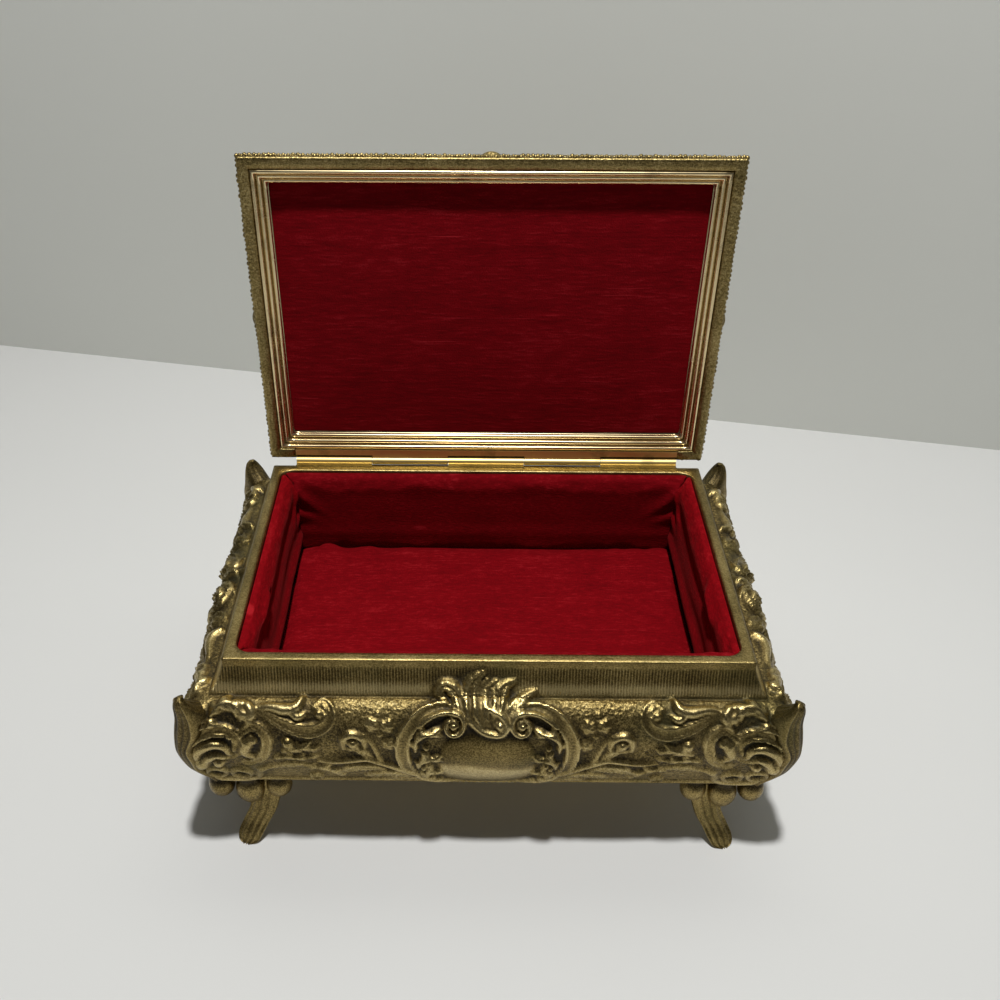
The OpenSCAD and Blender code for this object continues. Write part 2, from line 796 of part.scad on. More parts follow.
module lid_shell() {
    top = [for (q = lid_profile()) [-q[0], q[1]]];
    inside = concat(
        [
            [-lid_edge, -1], [-lid_edge, lid_band_h - 0.2],
            [-mould_in + 1.4, lid_hollow_z], [-mould_in - 1, lid_hollow_z + 0.2]
        ],
        [for (i = [1:6])
            let (t = i / 6)
            [-mould_in - (lid_half_d - mould_in) * t,
             dome_foot_h - lid_t + (dome_h - dome_foot_h) * sin(90 * t)]]
    );
    color(brass_cast)
        lid_placed()
            difference() {
                union() {
                    mitred(top, lid_half_w, lid_half_d);
                    lid_ornament();
                    scalloped_plate(lid_band_h - 1.9, lid_band_h);
                }
                mitred(inside, lid_half_w, lid_half_d);
                translate([-hinge_len / 2 - seat_gap, half_d - seat_gap, -1])
                    cube([hinge_len + 2 * seat_gap, 10, 1 + axis_up - lid_gap + barrel_r + sweep_gap]);
                translate([-hinge_len / 2 - seat_gap, lid_half_d - lid_edge - 1, -1])
                    cube([hinge_len + 2 * seat_gap, lid_edge + 2, 1 + leaf_t + 0.05]);
                lid_rivets(lid_rivet_r + 0.02, 0, rivet_bite + 0.1);
            }
}

// Face of the stepped moulding, as [in from the edge, height above the edge plane]
function mould_face() =
    let (
        lift = 0.7 * mould_t,
        rise = (lid_velvet_in - 0.4) / 3,
        run = mould_w / 3
    )
    [
        for (i = [0:2])
            each [
                [lid_edge + run * i + 0.2 * mould_t, lift + rise * i + lift / 2],
                [lid_edge + run * i + lift, lift + rise * i],
                [lid_edge + run * (i + 1) - lift, lift + rise * i],
                [lid_edge + run * (i + 1) - 0.2 * mould_t, lift + rise * i + lift / 2]
            ]
    ];

module lid_inner_frame() {
    face = mould_face();
    last = face[len(face) - 1];
    under = concat(
        [[-face[0][0], -1]],
        [for (q = face) [-q[0], q[1]]],
        [[-mould_in, last[1] + 0.1], [-mould_in, lid_card_z + 1]]
    );
    back = concat(
        [[-face[0][0], -1], [-face[0][0], face[0][1] + mould_t]],
        [for (i = [1:len(face) - 1]) [-face[i][0] + mould_t / 2, face[i][1] + mould_t]],
        [[-last[0] + mould_t / 2, lid_card_z - 0.05], [-mould_in - 1, lid_card_z - 0.05]]
    );
    color(brass_bright)
        lid_placed()
            difference() {
                mitred(back, lid_half_w, lid_half_d);
                mitred(under, lid_half_w, lid_half_d);
                translate([-lid_half_w, -lid_half_d, -1])
                    cube([2 * lid_half_w, 2 * lid_half_d, 1 + seat_gap]);
            }
}

// A pad on a flat back: rings of a rounded outline rise from the back, roll over and crown
module crowned_pad(half_x, half_y, r, edge, crown, roll) {
    per = 8;
    ring = function (inset, z) [
        for (c = [0:3])
            for (i = [0:per - 1])
                let (
                    a = c * 90 + i * 90 / (per - 1),
                    rr = max(r - inset, 0.4),
                    sx = (c == 0 || c == 3) ? 1 : -1,
                    sy = (c < 2) ? 1 : -1
                )
                [sx * (half_x - inset - rr) + rr * cos(a), sy * (half_y - inset - rr) + rr * sin(a), z]
    ];
    reach = half_y - r - 1;
    levels = concat(
        [[0, 0], [0, edge * 0.35]],
        [for (a = [30, 60, 90]) [roll * (1 - cos(a)), edge * (0.35 + 0.65 * sin(a))]],
        [for (t = [0.1, 0.25, 0.45, 0.7, 1])
            [roll + (reach - roll) * t, edge + crown * (1 - pow(1 - t, 2.2))]]
    );
    n = 4 * per;
    m = len(levels);
    points = [for (q = levels) each ring(q[0], q[1])];
    sides = [
        for (j = [0:m - 2])
            for (i = [0:n - 1])
                let (a = j * n + i, b = j * n + (i + 1) % n)
                each [[a, b + n, b], [a, a + n, b + n]]
    ];
    caps = [[for (i = [0:n - 1]) i], [for (i = [n - 1:-1:0]) (m - 1) * n + i]];
    polyhedron(points = points, faces = concat(sides, caps), convexity = 4);
}

module lid_card() {
    grip = 0.9;
    color(card_grey)
        lid_placed()
            translate([0, 0, lid_card_z])
                linear_extrude(height = lid_card_t)
                    square([
                        2 * (lid_half_w - mould_in + grip),
                        2 * (lid_half_d - mould_in + grip)
                    ], center = true);
}

module lid_velvet() {
    color(velvet_red)
        lid_placed()
            translate([0, 0, lid_card_z])
                mirror([0, 0, 1])
                    crowned_pad(
                        lid_half_w - mould_in - 0.25, lid_half_d - mould_in - 0.25,
                        1, lid_pad_t, lid_pad_crown, 0.4
                    );
}

lining_half_w = inner_half_w - lining_fit;
lining_half_d = inner_half_d - lining_fit;
lining_r = opening_r - lining_fit;
pad_roll = 1.2 * velvet_t;
fold_h = 2.4;
card_top = rim_z - 0.6 - fold_h;

module floor_card() {
    color(card_grey)
        placed()
            rounded_prism(lining_half_w, lining_half_d, lining_r, boss_top, rim_z - floor_at);
}

// Cross-section of a wall panel as [in from the lining's face, depth below the rim]
function panel_line() =
    let (
        top = 0.5,
        bottom = floor_at,
        face = card_t + velvet_t,
        belly = function (t) face + velvet_swell * sin(180 * pow(t, 0.8))
    )
    concat(
        [[0, top + fold_h], [0, top + 0.5], [0.5, top]],
        [[face - 0.6, top], [face, top + 0.6]],
        [for (i = [1:9]) [belly(i / 10), top + (bottom - top) * i / 10]],
        [[face, bottom], [card_t, bottom], [card_t, top + fold_h]]
    );

// A straight run along one wall, cut at 45 degrees at both ends and rounded into the corners
module wall_run(line, side) {
    along = side == "front" || side == "rear" ? lining_half_w : lining_half_d;
    away = side == "front" || side == "rear" ? lining_half_d : lining_half_w;
    turn = side == "front" ? 0 : side == "right" ? 90 : side == "rear" ? 180 : 270;
    intersection() {
        rotate([0, 0, turn])
            intersection() {
                rotate([90, 0, 90])
                    linear_extrude(height = 2 * along, center = true)
                        polygon([for (q = line) [-away + q[0], rim_z - q[1]]]);
                translate([0, 0, rim_z - casing_h])
                    linear_extrude(height = casing_h + 1)
                        polygon([
                            [-along, -away], [along, -away],
                            [along - 8, -away + 8], [-along + 8, -away + 8]
                        ]);
            }
        rounded_prism(lining_half_w, lining_half_d, lining_r, hem_z, rim_z + 1);
    }
}

module wall_card(side) {
    color(card_grey)
        placed()
            wall_run([[0, 0.5 + fold_h], [card_t, 0.5 + fold_h], [card_t, floor_at], [0, floor_at]], side);
}

module wall_lining(side) {
    color(velvet_red)
        placed()
            wall_run(panel_line(), side);
}

module floor_pad() {
    inset = card_t + velvet_t + pad_gap;
    color(velvet_red)
        placed()
            translate([0, 0, rim_z - floor_at])
                crowned_pad(
                    lining_half_w - inset, lining_half_d - inset, lining_r, pad_t, pad_crown, pad_roll
                );
}

body_shell();
base_plate();
foot(-1, -1);  // foot_front_left
foot(1, -1);  // foot_front_right
foot(-1, 1);  // foot_rear_left
foot(1, 1);  // foot_rear_right
foot_screws();
hinge_body_leaf();
hinge_body_rivets();
hinge_pin();
hinge_lid_leaf();
hinge_lid_rivets();
floor_card();
floor_pad();
wall_card("front");  // front_card
wall_card("rear");  // rear_card
wall_card("left");  // left_card
wall_card("right");  // right_card
wall_lining("front");  // front_lining
wall_lining("rear");  // rear_lining
wall_lining("left");  // left_lining
wall_lining("right");  // right_lining
lid_shell();
lid_inner_frame();
lid_card();
lid_velvet();
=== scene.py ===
# %% [markdown]
# # A footed keepsake casket in gilt cast metal
#
# The casket is a heavy casting with swelling sides, covered in scrolls and leaves, on four
# splayed feet. A domed lid leans back on a barrel hinge, and the inside is padded in red
# velvet. The solids that carry it all come from a construction model. This lesson dresses
# them: it carves the relief, pads the velvet and mixes the worn gilt finish.

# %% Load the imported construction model
import math

import bmesh
import bpy
import numpy as np
from mathutils import Matrix, Vector


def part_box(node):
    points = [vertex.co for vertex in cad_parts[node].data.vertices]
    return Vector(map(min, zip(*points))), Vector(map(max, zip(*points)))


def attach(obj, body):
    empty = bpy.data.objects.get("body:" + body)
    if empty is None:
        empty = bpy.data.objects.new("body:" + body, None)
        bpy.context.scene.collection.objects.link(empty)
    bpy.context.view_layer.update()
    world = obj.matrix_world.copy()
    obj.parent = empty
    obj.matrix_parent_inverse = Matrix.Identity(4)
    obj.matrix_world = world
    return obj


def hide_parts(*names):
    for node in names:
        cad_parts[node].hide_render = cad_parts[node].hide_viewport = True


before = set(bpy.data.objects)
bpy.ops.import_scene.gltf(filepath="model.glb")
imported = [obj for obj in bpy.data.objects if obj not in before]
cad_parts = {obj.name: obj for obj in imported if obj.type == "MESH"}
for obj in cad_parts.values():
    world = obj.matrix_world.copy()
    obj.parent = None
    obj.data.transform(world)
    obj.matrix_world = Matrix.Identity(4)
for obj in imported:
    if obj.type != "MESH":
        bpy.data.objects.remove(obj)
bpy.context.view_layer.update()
MM = 0.001


def corners_mm(node):
    """Lowest and highest corner of a construction node, in millimetres."""
    low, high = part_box(node)
    return np.array(low) / MM, np.array(high) / MM


casing_low, casing_high = corners_mm("body_shell")
MIDDLE_Y = float(casing_low[1] + casing_high[1]) / 2
RIM_Z = float(casing_high[2])
print("casing middle", round(MIDDLE_Y, 3), "rim height", round(RIM_Z, 2))

# %% [markdown]
# ## Camera, light and table
#
# The photograph looks down at about forty degrees from close in front, so the perspective is
# strong. The camera is placed by its distance from the middle of the rim, and a small shift
# takes up what the photograph was cropped by. The light is a plain pale room: a soft ceiling
# light, a weak fill, and a white table that throws light back up under the belly.

# %% Camera
CAMERA_FROM_RIM = (-5.4, -248.5, 196.4)
CAMERA_YAW, CAMERA_PITCH, CAMERA_ROLL = -0.00927, 0.71654, 0.00167

look = Vector((
    math.sin(CAMERA_YAW) * math.cos(CAMERA_PITCH),
    math.cos(CAMERA_YAW) * math.cos(CAMERA_PITCH),
    -math.sin(CAMERA_PITCH),
))
right = Vector((math.cos(CAMERA_YAW), -math.sin(CAMERA_YAW), 0))
up = right.cross(look)
tilt_right = right * math.cos(CAMERA_ROLL) + up * math.sin(CAMERA_ROLL)
tilt_up = up * math.cos(CAMERA_ROLL) - right * math.sin(CAMERA_ROLL)

camera_data = bpy.data.cameras.new("camera")
camera_data.sensor_width = 36
camera_data.lens = 36
camera_data.shift_x = 0.0373
camera_data.shift_y = 0.1
camera_data.clip_start = 0.01
camera = bpy.data.objects.new("camera", camera_data)
bpy.context.scene.collection.objects.link(camera)
turn = Matrix((tilt_right, tilt_up, -look)).transposed()
seat = Vector(CAMERA_FROM_RIM) + Vector((0, MIDDLE_Y, RIM_Z))
camera.matrix_world = Matrix.Translation(seat * MM) @ turn.to_4x4()
bpy.context.scene.camera = camera
bpy.context.scene.view_settings.view_transform = "Standard"
print("camera stands at", [round(c, 1) for c in seat])


# %% [markdown]
# Shader maths is easier to read as sums than as boxes and wires. The small class below wraps
# a number that varies over a surface, and adds the Math nodes as the sum is written.

# %% Numbers that vary over a surface
def plug(tree, socket, value):
    """Puts a plain value, or a varying one, into a node's socket."""
    if isinstance(value, Varying):
        tree.links.new(value.socket, socket)
    elif value is not None:
        socket.default_value = value


class Varying:
    """A value that differs from point to point, used in sums like any other number."""

    def __init__(self, tree, socket):
        self.tree, self.socket = tree, socket

    def math(self, operation, *values, clamp=False):
        node = self.tree.nodes.new("ShaderNodeMath")
        node.operation = operation
        node.use_clamp = clamp
        for socket, value in zip(node.inputs, values):
            plug(self.tree, socket, value)
        return Varying(self.tree, node.outputs[0])

    def __add__(self, other):
        return self.math("ADD", self, other)

    def __sub__(self, other):
        return self.math("SUBTRACT", self, other)

    def __mul__(self, other):
        return self.math("MULTIPLY", self, other)

    def __rsub__(self, other):
        return self.math("SUBTRACT", other, self)

    def __truediv__(self, other):
        return self.math("DIVIDE", self, other)

    __radd__ = __add__
    __rmul__ = __mul__

    def power(self, exponent):
        return self.math("POWER", self, exponent)

    def sine(self):
        return self.math("SINE", self)

    def clamp(self):
        return self.math("ADD", self, 0.0, clamp=True)

    def between(self, low, high):
        """0 below low, 1 above high, and a soft step between them."""
        node = self.tree.nodes.new("ShaderNodeMapRange")
        node.interpolation_type = "SMOOTHSTEP"
        for name, value in zip(("Value", "From Min", "From Max"), (self, low, high)):
            plug(self.tree, node.inputs[name], value)
        return Varying(self.tree, node.outputs[0])


class Finish:
    """One material: constants sit on the shader's own sockets, varying things are linked."""

    def __init__(self, name, **constants):
        self.material = bpy.data.materials.new(name)
        self.material.use_nodes = True
        self.tree = self.material.node_tree
        self.shader = self.tree.nodes["Principled BSDF"]
        for socket, value in constants.items():
            self.shader.inputs[socket.replace("_", " ").title().replace("Ior", "IOR")].default_value = value

    def node(self, kind, settings=None, out=0, **sockets):
        node = self.tree.nodes.new("ShaderNode" + kind)
        for key, value in (settings or {}).items():
            setattr(node, key, value)
        for name, value in sockets.items():
            plug(self.tree, node.inputs[name.replace("_", " ")], value)
        return Varying(self.tree, node.outputs[out])

    def place(self):
        """The point on the piece, in metres from the box's origin."""
        return self.node("TexCoord", out=3)

    def paint(self, name):
        """A value that was stored on the mesh, point by point."""
        return self.node("Attribute", {"attribute_name": name}, out=2)

    def noise(self, scale, detail=3.0, rough=0.55, at=None):
        return self.node("TexNoise", Vector=at or self.place(), Scale=scale, Detail=detail, Roughness=rough)

    def colours(self, factor, *stops):
        """A colour ramp from (position, colour) stops."""
        ramp = self.tree.nodes.new("ShaderNodeValToRGB")
        for element, (position, colour) in zip(ramp.color_ramp.elements, (stops[0], stops[-1])):
            element.position, element.color = position, (*colour, 1)
        for position, colour in stops[1:-1]:
            ramp.color_ramp.elements.new(position).color = (*colour, 1)
        plug(self.tree, ramp.inputs[0], factor)
        return Varying(self.tree, ramp.outputs[0])

    def mix(self, factor, colour_a, colour_b, blend="MIX"):
        mixer = self.tree.nodes.new("ShaderNodeMix")
        mixer.data_type, mixer.blend_type = "RGBA", blend
        plug(self.tree, mixer.inputs[0], factor)
        for socket, value in ((mixer.inputs[6], colour_a), (mixer.inputs[7], colour_b)):
            plug(self.tree, socket, (*value, 1) if isinstance(value, tuple) else value)
        return Varying(self.tree, mixer.outputs[2])

    def surface(self, **links):
        for socket, value in links.items():
            plug(self.tree, self.shader.inputs[socket.replace("_", " ")], value)

    def bump(self, height, distance, strength=1.0):
        bump = self.tree.nodes.new("ShaderNodeBump")
        bump.inputs["Strength"].default_value = strength
        bump.inputs["Distance"].default_value = distance * MM
        plug(self.tree, bump.inputs["Height"], height)
        self.tree.links.new(bump.outputs[0], self.shader.inputs["Normal"])


# %% [markdown]
# ## Finishes
#
# Antiqued gilt is a bright plating under a dark brown wash. The wash was wiped off, so it
# stays in the hollows and on the matt ground, and the high spots polish up. Two numbers
# stored on the mesh tell the shader where it is: how high the carving stands, and how deep a
# point sits below what is around it. These numbers also carry painted light and shade: a
# painted highlight low in the cove, a painted reflection on the plaque, and painted shade in
# the cove, in the eyes' pits, under the hem and on the tops of the feet.

# %% Gilt and brass
def antique_gilt(name, bright=1.0):
    gilt = Finish(name, Specular_IOR_Level=0.5)
    high, wash_and_shade, ground = gilt.paint("high"), gilt.paint("wash_and_shade"), gilt.paint("ground")
    flute = (gilt.paint("across") * (2 * math.pi / 0.86)).sine() * gilt.paint("reeded")
    blotch = gilt.noise(75, 4)
    grain = gilt.noise(2300, 3, 0.65)
    dents = gilt.node("TexVoronoi", {"feature": "F1"}, Vector=gilt.place(), Scale=900)
    hammered = gilt.noise(1250, 2, 0.5)
    # specks of the stippled casting's own colour, brightened as painted glints
    stipple_and_glint = grain.between(0.36, 0.64) - 0.5
    pits = dents.between(0.15, 0.75) - 0.5
    wear = (high * 0.28 + (blotch - 0.5) * 0.5 - wash_and_shade * 0.52 + stipple_and_glint * (ground * 0.10 + 0.27)
            + pits * (ground * 0.14 + 0.06) + flute * 0.17 + 0.465).clamp()
    tone = gilt.colours(
        wear,
        (0.0, (0.022, 0.015, 0.005)),
        (0.3, (0.115, 0.082, 0.027)),
        (0.6, (0.33 * bright, 0.245 * bright, 0.092 * bright)),
        (1.0, (0.74 * bright, 0.60 * bright, 0.29 * bright)),
    )
    green = gilt.noise(45, 3).between(0.50, 0.72) * 0.35
    gilt.surface(
        Base_Color=gilt.mix(green, tone, (0.085, 0.082, 0.028)),
        Metallic=(0.98 - wash_and_shade.clamp() * 0.4),
        Roughness=(0.36 + ground * 0.08 - high.clamp() * 0.10 + (blotch - 0.5) * 0.18 + wash_and_shade.clamp() * 0.2
                   + gilt.paint("reeded") * 0.16),
    )
    gilt.bump((dents + hammered) * (ground * 0.75 + 0.12) + grain * 0.34 + flute * 0.42, 0.28)
    return gilt.material


def sheet_brass(name, colour, rough, streak):
    brass = Finish(name, Metallic=1.0)
    stretch = brass.node("Mapping", Vector=brass.place(), Scale=streak)
    lines = brass.node("TexNoise", Vector=stretch, Scale=300, Detail=4)
    spots = brass.noise(120, 3)
    dark = tuple(c * 0.45 for c in colour)
    # darker in the grooves, steps and hidden faces, as stored in groove
    groove_darkened = brass.mix(brass.paint("groove") * 0.6, brass.mix(spots.between(0.56, 0.74) * 0.6, colour, dark), (0.10, 0.055, 0.022))
    brass.surface(
        Base_Color=groove_darkened,
        Roughness=rough + lines * 0.16 + spots * 0.08,
    )
    brass.bump(lines, 0.03)
    return brass.material


CASING_GILT = antique_gilt("antique_gilt_casing")
LID_GILT = antique_gilt("antique_gilt_lid")
FOOT_GILT = antique_gilt("antique_gilt_feet", bright=1.2)
MOULDING_BRASS = sheet_brass("moulding_brass", (0.93, 0.76, 0.44), 0.13, (0.2, 1, 1))
HINGE_BRASS = sheet_brass("hinge_brass", (0.93, 0.73, 0.30), 0.34, (0.15, 1, 1))
PLATE_BRASS = sheet_brass("plate_brass", (0.62, 0.50, 0.28), 0.32, (1, 0.2, 1))
SCREW_STEEL = sheet_brass("screw_steel", (0.56, 0.55, 0.52), 0.3, (1, 1, 0.3))


# %% [markdown]
# Velvet is dark where the pile faces away and glows where it leans over. Sheen gives the
# glow at grazing angles, and streaks of brushed pile break up the colour.

# %% Velvet and card
# painted_light_level makes a whole copy darker or lighter: painted shade or painted light
def velvet(name, streak, painted_light_level=1.0):
    cloth = Finish(name, Specular_IOR_Level=0.06, Sheen_Weight=0.04, Sheen_Roughness=0.4)
    cloth.shader.inputs["Sheen Tint"].default_value = (1.0, 0.25, 0.22, 1)
    brushed = cloth.node("Mapping", Vector=cloth.place(), Scale=streak)
    nap = cloth.node("TexNoise", Vector=brushed, Scale=260, Detail=5, Roughness=0.65)
    patches = cloth.noise(38, 4)
    pile = cloth.noise(2400, 2)
    threads = cloth.node("Mapping", Vector=cloth.place(), Scale=tuple(12 * v if v == 1 else v for v in streak))
    lint = cloth.node("TexNoise", Vector=threads, Scale=150, Detail=2).between(0.70, 0.78)
    fine = cloth.node("TexNoise", Vector=brushed, Scale=1500, Detail=2)
    tone = (nap * 0.28 + fine * 0.34 + patches * 0.12 + pile * 0.24 + lint * 0.3).between(0.30, 0.72)
    # painted shade: the side wall's slit is mixed to near black
    cloth.surface(
        Base_Color=cloth.mix(cloth.paint("painted_slit_shade"), cloth.colours(
            tone,
            (0.0, (0.135 * painted_light_level, 0.0008, 0.0028)),
            (0.55, (0.215 * painted_light_level, 0.0014, 0.0045)),
            (1.0, (0.34 * painted_light_level, 0.0110, 0.0160)),
        ), (0.012, 0.0, 0.0005)),
        Roughness=0.78 + pile * 0.2,
    )
    cloth.bump(pile * 0.6 + nap * 0.4 + fine * 0.4 + patches * 0.5, 0.25)
    return cloth.material


def pasteboard():
    card = Finish("pasteboard", Specular_IOR_Level=0.2)
    fibre = card.noise(900, 5)
    card.surface(Base_Color=card.mix(fibre, (0.30, 0.26, 0.21), (0.42, 0.38, 0.31)), Roughness=0.8 + fibre * 0.15)
    card.bump(fibre, 0.05)
    return card.material


# Copies of one velvet, made darker or lighter as painted shade and painted light for each part
FLOOR_VELVET = velvet("velvet_floor", (0.25, 1, 1))
WALL_VELVET = velvet("velvet_walls", (0.35, 0.35, 1.2), 0.9)
SIDE_VELVET = velvet("velvet_side_walls", (0.35, 0.35, 1.2), 1.1)
LID_VELVET = velvet("velvet_lid", (0.12, 1, 1), 0.85)
PASTEBOARD = pasteboard()


# %% [markdown]
# The table is a plain pale sheet and the backdrop a plain pale wall. Neither rides on a body,
# so they are left out of the object.

# %% Table, wall and lamps
def plain_sheet(name, points, colour):
    mesh = bpy.data.meshes.new(name)
    mesh.from_pydata([Vector(p) * MM for p in points], [], [list(range(len(points)))])
    sheet = bpy.data.objects.new(name, mesh)
    bpy.context.scene.collection.objects.link(sheet)
    paper = Finish(name + "_paint", Roughness=0.75, Specular_IOR_Level=0.2)
    soft = paper.noise(6, 2)
    from_behind = paper.node("NewGeometry", out=6)
    paper.surface(Base_Color=paper.mix(soft, colour, tuple(c * 0.97 for c in colour)), Alpha=1 - from_behind)
    mesh.materials.append(paper.material)
    return sheet


TABLE_LEFT, TABLE_RIGHT = (-1500, 510), (1500, -80)
plain_sheet("table", [(-1500, -1500, 0), (1500, -1500, 0), (1500, 1500, 0), (-1500, 1500, 0)], (0.76, 0.76, 0.74))
plain_sheet("wall", [(*TABLE_LEFT, -200), (*TABLE_RIGHT, -200), (*TABLE_RIGHT, 1800), (*TABLE_LEFT, 1800)],
            (0.72, 0.73, 0.685))


def soft_lamp(name, place, aim, size, watts):
    lamp_data = bpy.data.lights.new(name, "AREA")
    lamp_data.shape = "DISK"
    lamp_data.size = size * MM
    lamp_data.energy = watts
    lamp = bpy.data.objects.new(name, lamp_data)
    bpy.context.scene.collection.objects.link(lamp)
    lamp.location = Vector(place) * MM
    lamp.rotation_euler = (Vector(aim) - Vector(place)).to_track_quat("-Z", "Y").to_euler()


# The shadow on the table is only a little wider than the belly, so the lamp is high overhead
soft_lamp("ceiling", (0, -128 + MIDDLE_Y, 893), (0, 0, 40), 60, 6.0)
world = bpy.data.worlds.new("room")
bpy.context.scene.world = world
world.use_nodes = True
world.node_tree.nodes["Background"].inputs["Color"].default_value = (1.0, 0.97, 0.93, 1)
world.node_tree.nodes["Background"].inputs["Strength"].default_value = 0.062

# %% [markdown]
# ## Rings: the shape behind every moulding here
#
# The casing, the stamped moulding in the lid and the velvet walls all run round a rectangle.
# So one helper lays a ring of points round a rounded rectangle, the same number of points
# on each ring, and another skins the rings. Points are packed closer at the corners and
# along the front, where the eye goes.

# %% Ring helpers
HALF_W, HALF_D = 75.0, 49.0
CORNER_ZONE = 10.0


def side_steps(core_steps, corner_steps):
    """Steps along one side: minus one to one, with the corner zones beyond."""
    core = np.linspace(-1, 1, core_steps + 1)
    corner = np.linspace(0, 1, corner_steps + 1)[1:]
    return core, corner


class Ring:
    """Points round a rectangle, anticlockwise from above, starting in the front left corner."""

    def __init__(self, front, back, side, corner):
        self.counts = (front, side, back, side)
        self.corner = corner

    def along(self, half_along, reach, radius):
        """One length: reach less the corner's radius, and half the arc of the rounded corner."""
        path = reach - radius + radius * math.pi / 4
        return path

    def outline(self, half_w, half_d, radius, core_w=HALF_W - CORNER_ZONE, core_d=HALF_D - CORNER_ZONE):
        """The ring's points for one rounded rectangle, as an array of x and y."""
        points = []
        for turn in range(4):
            half, away, core = (half_w, half_d, core_w) if turn % 2 == 0 else (half_d, half_w, core_d)
            straight = half - radius - core
            quarter = radius * math.pi / 4
            span = straight + quarter
            local = []
            for t in np.linspace(1, 0, self.corner + 1)[:-1]:
                local.append(self._corner_point(t * span, straight, radius, core, away, -1))
            for x in np.linspace(-core, core, self.counts[turn] + 1):
                local.append((x, -away))
            for t in np.linspace(0, 1, self.corner + 1)[1:-1]:
                local.append(self._corner_point(t * span, straight, radius, core, away, 1))
            c, s = [(1, 0), (0, 1), (-1, 0), (0, -1)][turn]
            points += [(x * c - y * s, x * s + y * c) for x, y in local]
        return np.array(points)

    @staticmethod
    def _corner_point(run, straight, radius, core, away, sign):
        if run <= straight or radius <= 0:
            return sign * (core + run), -away
        angle = (run - straight) / radius
        return (sign * (core + straight + radius * math.sin(angle)),
                -away + radius * (1 - math.cos(angle)))

    def sides(self):
        """For each point: which side it is on, 0 front, 1 right, 2 back, 3 left."""
        return np.concatenate([np.full(2 * self.corner + n, i) for i, n in enumerate(self.counts)])


def skin(rings, closed_rows=True, closed_columns=True):
    """Quads between rings that hold the same number of points."""
    rows, columns = len(rings), len(rings[0])
    j = np.arange(rows if closed_rows else rows - 1)
    i = np.arange(columns if closed_columns else columns - 1)
    jj, ii = np.meshgrid(j, i, indexing="ij")
    nj, ni = (jj + 1) % rows, (ii + 1) % columns
    quads = np.stack([jj * columns + ii, nj * columns + ii, nj * columns + ni, jj * columns + ni], -1)
    return quads.reshape(-1, 4)


def piece(name, points, faces, material, body, slot, smooth=True, paints=None):
    """A finished mesh that rides on a body; points are in millimetres."""
    mesh = bpy.data.meshes.new(name)
    mesh.from_pydata((np.asarray(points) * MM).tolist(), [], [list(map(int, f)) for f in faces])
    for paint_name, values in (paints or {}).items():
        layer = mesh.attributes.new(paint_name, "FLOAT", "POINT")
        layer.data.foreach_set("value", np.asarray(values, dtype=np.float32).ravel())
    mesh.materials.append(material)
    mesh.polygons.foreach_set("use_smooth", [smooth] * len(mesh.polygons))
    thing = bpy.data.objects.new(name, mesh)
    bpy.context.scene.collection.objects.link(thing)
    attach(thing, body)
    print(name, len(mesh.vertices), "points")
    return thing


# %% [markdown]
# ## Carving by distance
#
# A carver builds ornament from a few cuts: a rounded ridge, a band with raised edges, a
# leaf with a midrib, a bead, an eye. Each is a height that depends on the distance from a
# drawn line. The highest form wins at every point, which gives the crisp overlaps of real
# carving. The lines are laid out in millimetres on the flattened side of the casket.

# %% The carver's forms
def spline(points, steps=9):
    """A smooth line through the given points."""
    p = np.array(points, float)
    if len(p) == 2:
        return np.array([p[0] + (p[1] - p[0]) * t for t in np.linspace(0, 1, steps)])
    padded = np.vstack([2 * p[0] - p[1], p, 2 * p[-1] - p[-2]])
    line = []
    for a, b, c, d in zip(padded, padded[1:], padded[2:], padded[3:]):
        for t in np.linspace(0, 1, steps)[:-1]:
            line.append(0.5 * (2 * b + (c - a) * t + (2 * a - 5 * b + 4 * c - d) * t ** 2
                               + (3 * b - a - 3 * c + d) * t ** 3))
    return np.array(line + [p[-1]])


def swell(values, t):
    return np.interp(t, np.linspace(0, 1, len(values)), values)


